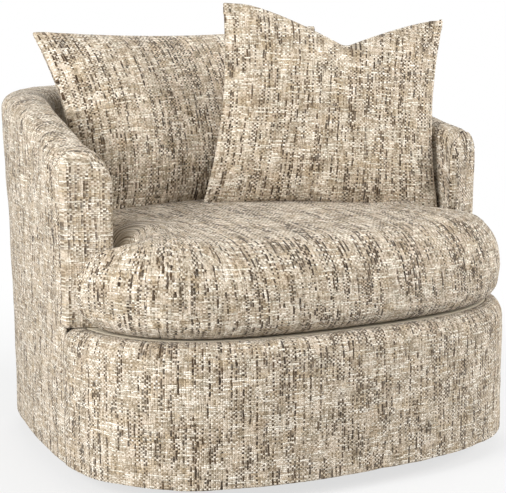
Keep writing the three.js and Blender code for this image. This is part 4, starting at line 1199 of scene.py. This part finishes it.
# The crown over the middle, and the ears, which stand higher than the sides.
seat_crown = 0.03
seat_crown_y = -0.06
seat_crown_width = 0.6
seat_crown_depth = 0.5
seat_crown_least = -0.2
seat_rise = 0.115
seat_rise_start_x = 0.22
seat_rise_run_x = 0.2
seat_rise_start_y = -0.02
seat_rise_run_y = 0.16

# How the top cloth lies, and how the cover swells.
cloth_fan_start_x = 0.15
cloth_fan_run_x = 0.3
cloth_fan_depth = 0.4
cloth_fan_end_y = -0.19
cloth_fan_fade = 0.09
seat_top_weave = 0.7
seat_swell = 0.012
seat_seam_height = 0.012
seat_seam_fade = 0.035
seat_floor_gap = 0.0005
nub_height = 0.0005
nub_size = 0.007
seat_voxel = 0.006
cover_pressure = 4.0
cover_frames = 20


def evenly(points, count=0, step=0.0):
    """A closed outline resampled to even steps, by their count or else by their length."""
    closed = np.vstack([points, points[:1]])
    run = run_along(closed)
    even = np.linspace(0, run[-1], count or int(run[-1] / step), endpoint=False)
    return np.stack([np.interp(even, run, closed[:, 0]), np.interp(even, run, closed[:, 1])], -1)


def rounded_outline(points, radius, step):
    """A closed outline resampled evenly, its corners eased over a radius."""
    line = evenly(points, step=step)
    reach = max(int(radius / step), 1)
    weights = 1 - np.abs(np.arange(-reach, reach + 1)) / (reach + 1)
    weights /= weights.sum()
    return sum(w * np.roll(line, k, axis=0) for w, k in zip(weights, range(-reach, reach + 1)))


def arm_face_y(inset):
    """How far forward the arm's front reaches at an inset, about the swivel axis."""
    return arm_front_y - arm_front_slant * inset / arm_wall - arm_front_thickness


def seat_nose_line(count):
    """Half of the front, from its middle to the right ear; the ears reach furthest out."""
    end = angle_at_y(arm_face_y(seat_inset) - seat_ear_gap - seat_ear_chamfer, seat_inset)
    angles = np.linspace(-math.pi / 2, end, count)
    side = smooth((plan_curve(angles)[:, 0] - seat_ear_start_x) / seat_ear_run)
    return plan_inset(angles, seat_inset + (seat_ear_inset - seat_inset) * side)


def seat_outline():
    """The T: round the front, back along the slanted arm fronts, then inside the arms."""
    nose = seat_nose_line(60)
    shoulder = [nose[-1, 0] - seat_ear_chamfer, nose[-1, 1] + seat_ear_chamfer * seat_ear_slant]
    inner = arm_wall + seat_side_gap
    side = np.linspace(angle_at_y(arm_face_y(inner) - seat_ear_gap, inner), math.pi / 2, 80)
    rear = plan_inset(side, wall_thickness(plan_curve(side)[:, 1]) + seat_side_gap)
    half = np.vstack([nose, [shoulder], rear])
    return np.vstack([half, half[1:-1][::-1] * [-1, 1]])


def drawn_in(line, amount):
    """A closed outline moved inwards in small steps and eased, so that corners never cross."""
    count = max(int(math.ceil(np.max(amount) / inset_step)), 1)
    for _ in range(count):
        along = unit(np.roll(line, -1, axis=0) - np.roll(line, 1, axis=0))
        inward = np.stack([-along[:, 1], along[:, 0]], -1)
        line = line + inward * (np.asarray(amount) / count)[..., None]
        line = (np.roll(line, 1, axis=0) + 2 * line + np.roll(line, -1, axis=0)) / 4
        line = evenly(line, count=len(line))
    return line


def seat_start():
    """A slab with a small round below and a large one above, before it is blown up."""
    line = rounded_outline(seat_outline(), seat_corner, seat_ring_step)
    lower = []
    ring = line
    depth = 0.0
    for turn in np.linspace(0, math.pi / 2, seat_lower_rings):
        share = math.sin(turn)
        inset = seat_tuck * (1 - (1 - share**seat_tuck_power) ** (1 / seat_tuck_power))
        if inset > depth:
            ring = drawn_in(ring, np.full(len(ring), inset - depth))
        depth = inset
        lower.append(np.column_stack([ring, np.full(len(ring), seat_equator * (1 - share))]))
    upper = []
    ring = line
    share_before = 0.0
    for turn in np.linspace(0, math.pi / 2, seat_upper_rings)[1:]:
        frontness = smooth((seat_nose_start_y - ring[:, 1]) / seat_nose_run)
        reach = seat_side_round + (seat_nose - seat_side_round) * frontness
        share = 1 - math.cos(turn) ** seat_nose_power
        ring = drawn_in(ring, reach * (share - share_before))
        share_before = share
        height = seat_equator + (seat_height - seat_equator) * math.sin(turn)
        upper.append(np.column_stack([ring, np.full(len(ring), height)]))
    return np.array(lower[::-1] + upper) + [0, swivel_y, deck_top + seat_lift]


def seat_cloth(place):
    """The top cloth runs back over the nose of the cushion; at the ears it fans round it."""
    half = seat_nose_line(120)
    nose = np.vstack([half[:0:-1] * [-1, 1], half]) + [0, swivel_y]
    run = run_along(nose)
    run -= run[-1] / 2
    along = unit(np.gradient(nose, axis=0))
    inward = np.stack([-along[:, 1], along[:, 0]], -1)
    nearest = np.empty(len(place), dtype=int)
    for some in np.array_split(np.arange(len(place)), 40):
        gap = place[some, None, :2] - nose[None]
        nearest[some] = np.argmin((gap**2).sum(-1), axis=1)
    x, y, z = place.T
    from_nose = ((place[:, :2] - nose[nearest]) * inward[nearest]).sum(-1)
    from_front = y - np.interp(np.abs(x), half[:, 0], half[:, 1] + swivel_y)
    ears = smooth((np.abs(x) - cloth_fan_start_x) / cloth_fan_run_x)
    ears *= 1 - smooth(from_nose / cloth_fan_depth)
    ears *= 1 - smooth((y - swivel_y - cloth_fan_end_y) / cloth_fan_fade)
    inside = np.clip(seat_inset + from_front + (from_nose - from_front) * ears, 0, None)
    turn = np.arctan2(z - deck_top - seat_equator, np.maximum(seat_nose - inside, 1e-6))
    v = seat_equator + seat_nose * turn + seat_top_weave * np.clip(inside - seat_nose, 0, None)
    return x + (run[nearest] - x) * ears, v


def apply_to_mesh(piece, modifier):
    bpy.ops.object.select_all(action="DESELECT")
    bpy.context.view_layer.objects.active = piece
    piece.select_set(True)
    bpy.ops.object.modifier_apply(modifier=modifier.name)


def dressed(name, points, faces, material, voxel):
    """A cover over a start shape, remeshed so that it can be blown up evenly."""
    piece = add_mesh(name, points, faces, material)
    remesh = piece.modifiers.new("even_mesh", "REMESH")
    remesh.mode = "VOXEL"
    remesh.voxel_size = voxel
    apply_to_mesh(piece, remesh)
    return piece


def points_of(piece, kind="co"):
    """The places of a piece's points, or their normals."""
    flat = np.empty(len(piece.data.vertices) * 3)
    piece.data.vertices.foreach_get(kind, flat)
    return flat.reshape(-1, 3)


def move_points(piece, points):
    piece.data.vertices.foreach_set("co", points.ravel())
    piece.data.update()


def blow_up(piece, most, held):
    """Swells a closed cover under pressure. held is 1 where a seam keeps its place."""
    before = points_of(piece)
    seam = piece.vertex_groups.new(name="seam")
    for k in np.flatnonzero(held > 0.01):
        seam.add([int(k)], float(held[k]), "REPLACE")
    cloth = piece.modifiers.new("stuffing", "CLOTH")
    cloth.settings.vertex_group_mass = "seam"
    cloth.settings.use_pressure = True
    cloth.settings.uniform_pressure_force = cover_pressure
    cloth.settings.effector_weights.gravity = 0
    scene = bpy.context.scene
    for number in range(1, cover_frames + 1):
        scene.frame_set(number)
    move = points_of(piece.evaluated_get(bpy.context.evaluated_depsgraph_get())) - before
    length = np.linalg.norm(move, axis=1, keepdims=True)
    eased = most * np.tanh(length / most)
    piece.modifiers.remove(cloth)
    piece.vertex_groups.clear()
    scene.frame_set(1)
    move_points(piece, before + move * eased / np.maximum(length, 1e-9))


def subdivided(piece):
    smoothing = piece.modifiers.new("finer", "SUBSURF")
    smoothing.levels = smoothing.render_levels = 1
    apply_to_mesh(piece, smoothing)
    piece.data.shade_smooth()


def seat_cushion():
    points = seat_start()
    # The seat's tweed is made a little darker: painted shade.
    seat_tweed = tweed("seat_tweed", 8.9, dark_yarn=-0.01, contrast=1.05, painted_light=0.98)
    piece = dressed("seat_cushion_cover", points, tube_faces(*points.shape[:2]), seat_tweed, seat_voxel)
    place = points_of(piece)
    x, y, z = place[:, 0], place[:, 1] - swivel_y, place[:, 2] - deck_top
    share = np.clip((z - seat_equator) / (seat_height - seat_equator), 0, 1)
    fall = (x / seat_crown_width) ** 2 + ((y - seat_crown_y) / seat_crown_depth) ** 2
    z = z + share * seat_crown * np.clip(1 - fall, seat_crown_least, 1)
    ears = smooth((np.abs(x) - seat_rise_start_x) / seat_rise_run_x)
    ears *= smooth((seat_rise_start_y - y) / seat_rise_run_y)
    z = z + seat_rise * ears * z
    place[:, 2] = z + deck_top
    move_points(piece, place)
    blow_up(piece, seat_swell, 1 - smooth((z - seat_seam_height) / seat_seam_fade))
    place = points_of(piece)
    place[:, 2] = np.maximum(place[:, 2], deck_top + seat_floor_gap)
    move_points(piece, place)
    subdivided(piece)
    place = points_of(piece)
    u, v = seat_cloth(place)
    nubs = nub_height * uneven(u, v, nub_size, 60)
    move_points(piece, place + points_of(piece, "normal") * nubs[:, None])
    lay_cloth(piece, u, v)
    upholstered(piece, "seat_cushion")


seat_cushion()


# Back pillow.
# A wide knife-edge pillow stuffed with fibre stands on the seat against the back. Its sides draw in
# between the pointed corners, and its top edge sags a little between them.

pillow_grid = 56
pillow_voxel = 0.0055
pillow_edge = 0.0025
pillow_fill_power = 2.6
pillow_round_power = 0.62
pillow_seam = 0.014
pillow_lump_height = 0.002
pillow_lump_size = 0.09
pillow_lump_fade = 0.04
throw_shift = -0.005
chop_middle = 0.12
chop_reach = 0.93
chop_power = 1.4


def pillow(node, size, pull, chop, turn, material, seed, most):
    """A pillow in its own upright plane, remeshed, blown up, then turned and set in its place.
    pull is how far the sides and the top draw in, and the share by which the foot is wider."""
    width, height, thickness = size
    side_pull, top_pull, spread = pull

    def reach(x, z):
        """Half the width and half the height of the outline at shares of -1 to 1."""
        chop_share = np.clip(1 - np.abs(x - chop_middle) / chop_reach, 0, None) ** chop_power
        half_x = width / 2 * (1 + spread * (1 - z) / 2) - side_pull * (1 - z**2)
        top_z = height / 2 - top_pull * (1 - x**2) - chop * chop_share
        return half_x, np.where(z > 0, top_z, height / 2 - side_pull * (1 - x**2))

    def reach_at(place):
        """Half the width through each point of a cover, and the gap from there to the seam."""
        z = np.clip(2 * place[:, 2] / height, -1, 1)
        wide = width * (1 + spread * (1 - z) / 2)
        half_x, half_z = reach(np.clip(2 * place[:, 0] / wide, -1, 1), z)
        return half_x, np.minimum(half_x - np.abs(place[:, 0]), half_z - np.abs(place[:, 2]))

    line = np.sin(np.linspace(-math.pi / 2, math.pi / 2, pillow_grid))
    x, z = np.meshgrid(line, line, indexing="ij")
    half_x, half_z = reach(x, z)
    swell = np.clip((1 - np.abs(x) ** pillow_fill_power) * (1 - np.abs(z) ** pillow_fill_power), 0, 1)
    half_y = pillow_edge + thickness / 2 * swell**pillow_round_power
    points = np.stack([np.stack([x * half_x, side * half_y, z * half_z], -1) for side in (-1, 1)])
    piece = dressed(node + "_cover", points, pad_faces(pillow_grid, pillow_grid), material, pillow_voxel)
    blow_up(piece, most, 1 - smooth(reach_at(points_of(piece))[1] / pillow_seam))
    subdivided(piece)
    place = points_of(piece)
    place[:, 0] *= width * (1 + spread) / np.ptp(place[:, 0])
    place[:, 2] *= height / np.ptp(place[:, 2])
    move_points(piece, place)
    half_x, edge = reach_at(place)
    u = place[:, 0] / half_x * width / 2
    v = place[:, 2] + np.where(place[:, 1] > 0, height, 0)
    soft = pillow_lump_height * uneven(u, v, pillow_lump_size, seed)
    soft += nub_height * uneven(u, v, nub_size, seed + 1)
    place += points_of(piece, "normal") * (soft * smooth(edge / pillow_lump_fade))[:, None]
    turned = place @ np.array(turn.to_matrix()).T
    low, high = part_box(node)
    middle = np.array((low + high) / 2)
    if chop:
        middle += [throw_shift, 0, low.z - turned[:, 2].min() - middle[2]]
    move_points(piece, turned + middle)
    lay_cloth(piece, u, v)
    upholstered(piece, node)


back_pillow_size = (0.74, 0.474, 0.165)
back_pillow_pull = (0.046, 0.022, 0)
back_pillow_turn = Euler((-math.radians(24.8), 0, 0))
back_pillow_swell = 0.022
# The back pillow's tweed is made paler: painted light.
back_pillow_tweed = tweed("back_pillow_tweed", 11.3, dark_yarn=0.01, contrast=1.05, painted_light=1.08)
pillow(
    "back_pillow", back_pillow_size, back_pillow_pull, 0, back_pillow_turn,
    back_pillow_tweed, seed=70, most=back_pillow_swell,
)


# Throw pillow.
# A square knife-edge pillow filled with feathers, chopped in the middle of its top edge. It stands
# on the seat, turned towards the middle, against the back pillow and the right arm.

throw_size = (0.492, 0.447, 0.13)
throw_pull = (0.023, 0.003, 0.071)
throw_chop = 0.076
throw_turn = Euler((-math.radians(9), math.radians(4.4), -math.radians(23.7)), "YXZ")
throw_swell = 0.02
# The throw pillow's tweed is made paler: painted light.
throw_tweed = tweed("throw_pillow_tweed", 14.9, dark_yarn=-0.01, painted_light=1.07)
pillow(
    "throw_pillow", throw_size, throw_pull, throw_chop, throw_turn,
    throw_tweed, seed=80, most=throw_swell,
)


# Studio.
# A plain pale floor under soft light from the left and above, and the camera in the photograph's
# place, in front and to the left, a little above the seat.

def seen_ray(tree):
    """1 for what the camera sees, directly or in metal."""
    rays = node_of(tree, "LightPath").outputs
    mirrored = maths(tree, "MAXIMUM", rays["Is Glossy Ray"], rays["Is Transmission Ray"])
    return maths(tree, "MAXIMUM", rays["Is Camera Ray"], mirrored)


floor_reach = 12
floor_fade = (0.8, 1.8)


def studio_floor():
    corners = [(-1, -1, 0), (1, -1, 0), (1, 1, 0), (-1, 1, 0)]
    material, tree, shader = new_material("pale_floor")
    feed(tree, shader, {"Base Color": (0.6, 0.6, 0.6, 1), "Roughness": 0.9})
    glow = node_of(tree, "Emission", {"Color": (1, 1, 1, 1), "Strength": 1.0}).outputs[0]
    distance = node_of(tree, "VectorMath", {0: place_of(tree)}, operation="LENGTH").outputs["Value"]
    white = maths(tree, "MULTIPLY_ADD", smooth_step(tree, distance, *floor_fade), 0.3, 0.7)
    veil = {0: maths(tree, "MULTIPLY", seen_ray(tree), white), 1: shader.outputs[0], 2: glow}
    veil = node_of(tree, "MixShader", veil).outputs[0]
    feed(tree, tree.nodes["Material Output"], {"Surface": veil})
    add_mesh("studio_floor", floor_reach * np.array(corners), [(0, 1, 2, 3)], material)


studio_floor()


def studio_world(strength):
    world = bpy.data.worlds.new("studio")
    world.use_nodes = True
    tree = world.node_tree
    light = tree.nodes["Background"]
    feed(tree, light, {"Color": (1, 1, 1, 1), "Strength": strength})
    white = node_of(tree, "Background", {"Color": (1, 1, 1, 1), "Strength": 1.0})
    mixed = node_of(tree, "MixShader", {0: seen_ray(tree), 1: light.outputs[0], 2: white.outputs[0]})
    feed(tree, tree.nodes["World Output"], {"Surface": mixed.outputs[0]})
    bpy.context.scene.world = world


world_strength = 0.34
studio_world(world_strength)

lamp_target = Vector((0, 0, 0.4))


def soft_lamp(name, place, size, power):
    light = bpy.data.lights.new(name, "AREA")
    light.shape = "DISK"
    light.size = size
    light.energy = power
    lamp = bpy.data.objects.new(name, light)
    lamp.location = place
    lamp.rotation_euler = (lamp_target - Vector(place)).to_track_quat("-Z", "Y").to_euler()
    bpy.context.collection.objects.link(lamp)


soft_lamp("window_lamp", (-3.5, -1.3, 1.9), 2.4, 185)
soft_lamp("top_lamp", (0.4, -0.3, 3.6), 2.8, 21)
soft_lamp("fill_lamp", (3.28, -2.05, 1.8), 2.2, 146)
soft_lamp("back_lamp", (1.2, 3.4, 2.0), 2.4, 55)

camera_target = Vector((0.02316, swivel_y, 0.41928))
camera_distance = 3.6465
camera_azimuth = math.radians(-30)
camera_elevation = math.radians(9.584)
photo_width = 506
focal_pixels = 1647.5
centre_rise_pixels = 1.6


def photo_camera():
    camera = bpy.data.cameras.new("photo_camera")
    camera.sensor_fit = "HORIZONTAL"
    camera.lens = camera.sensor_width * focal_pixels / photo_width
    camera.shift_y = -centre_rise_pixels / photo_width
    holder = bpy.data.objects.new("photo_camera", camera)
    flat = math.cos(camera_elevation)
    back_off = Vector((
        math.sin(camera_azimuth) * flat,
        -math.cos(camera_azimuth) * flat,
        math.sin(camera_elevation),
    ))
    holder.location = camera_target + back_off * camera_distance
    holder.rotation_euler = (-back_off).to_track_quat("-Z", "Y").to_euler()
    bpy.context.collection.objects.link(holder)
    bpy.context.scene.camera = holder


photo_camera()
bpy.context.scene.view_settings.view_transform = "Standard"
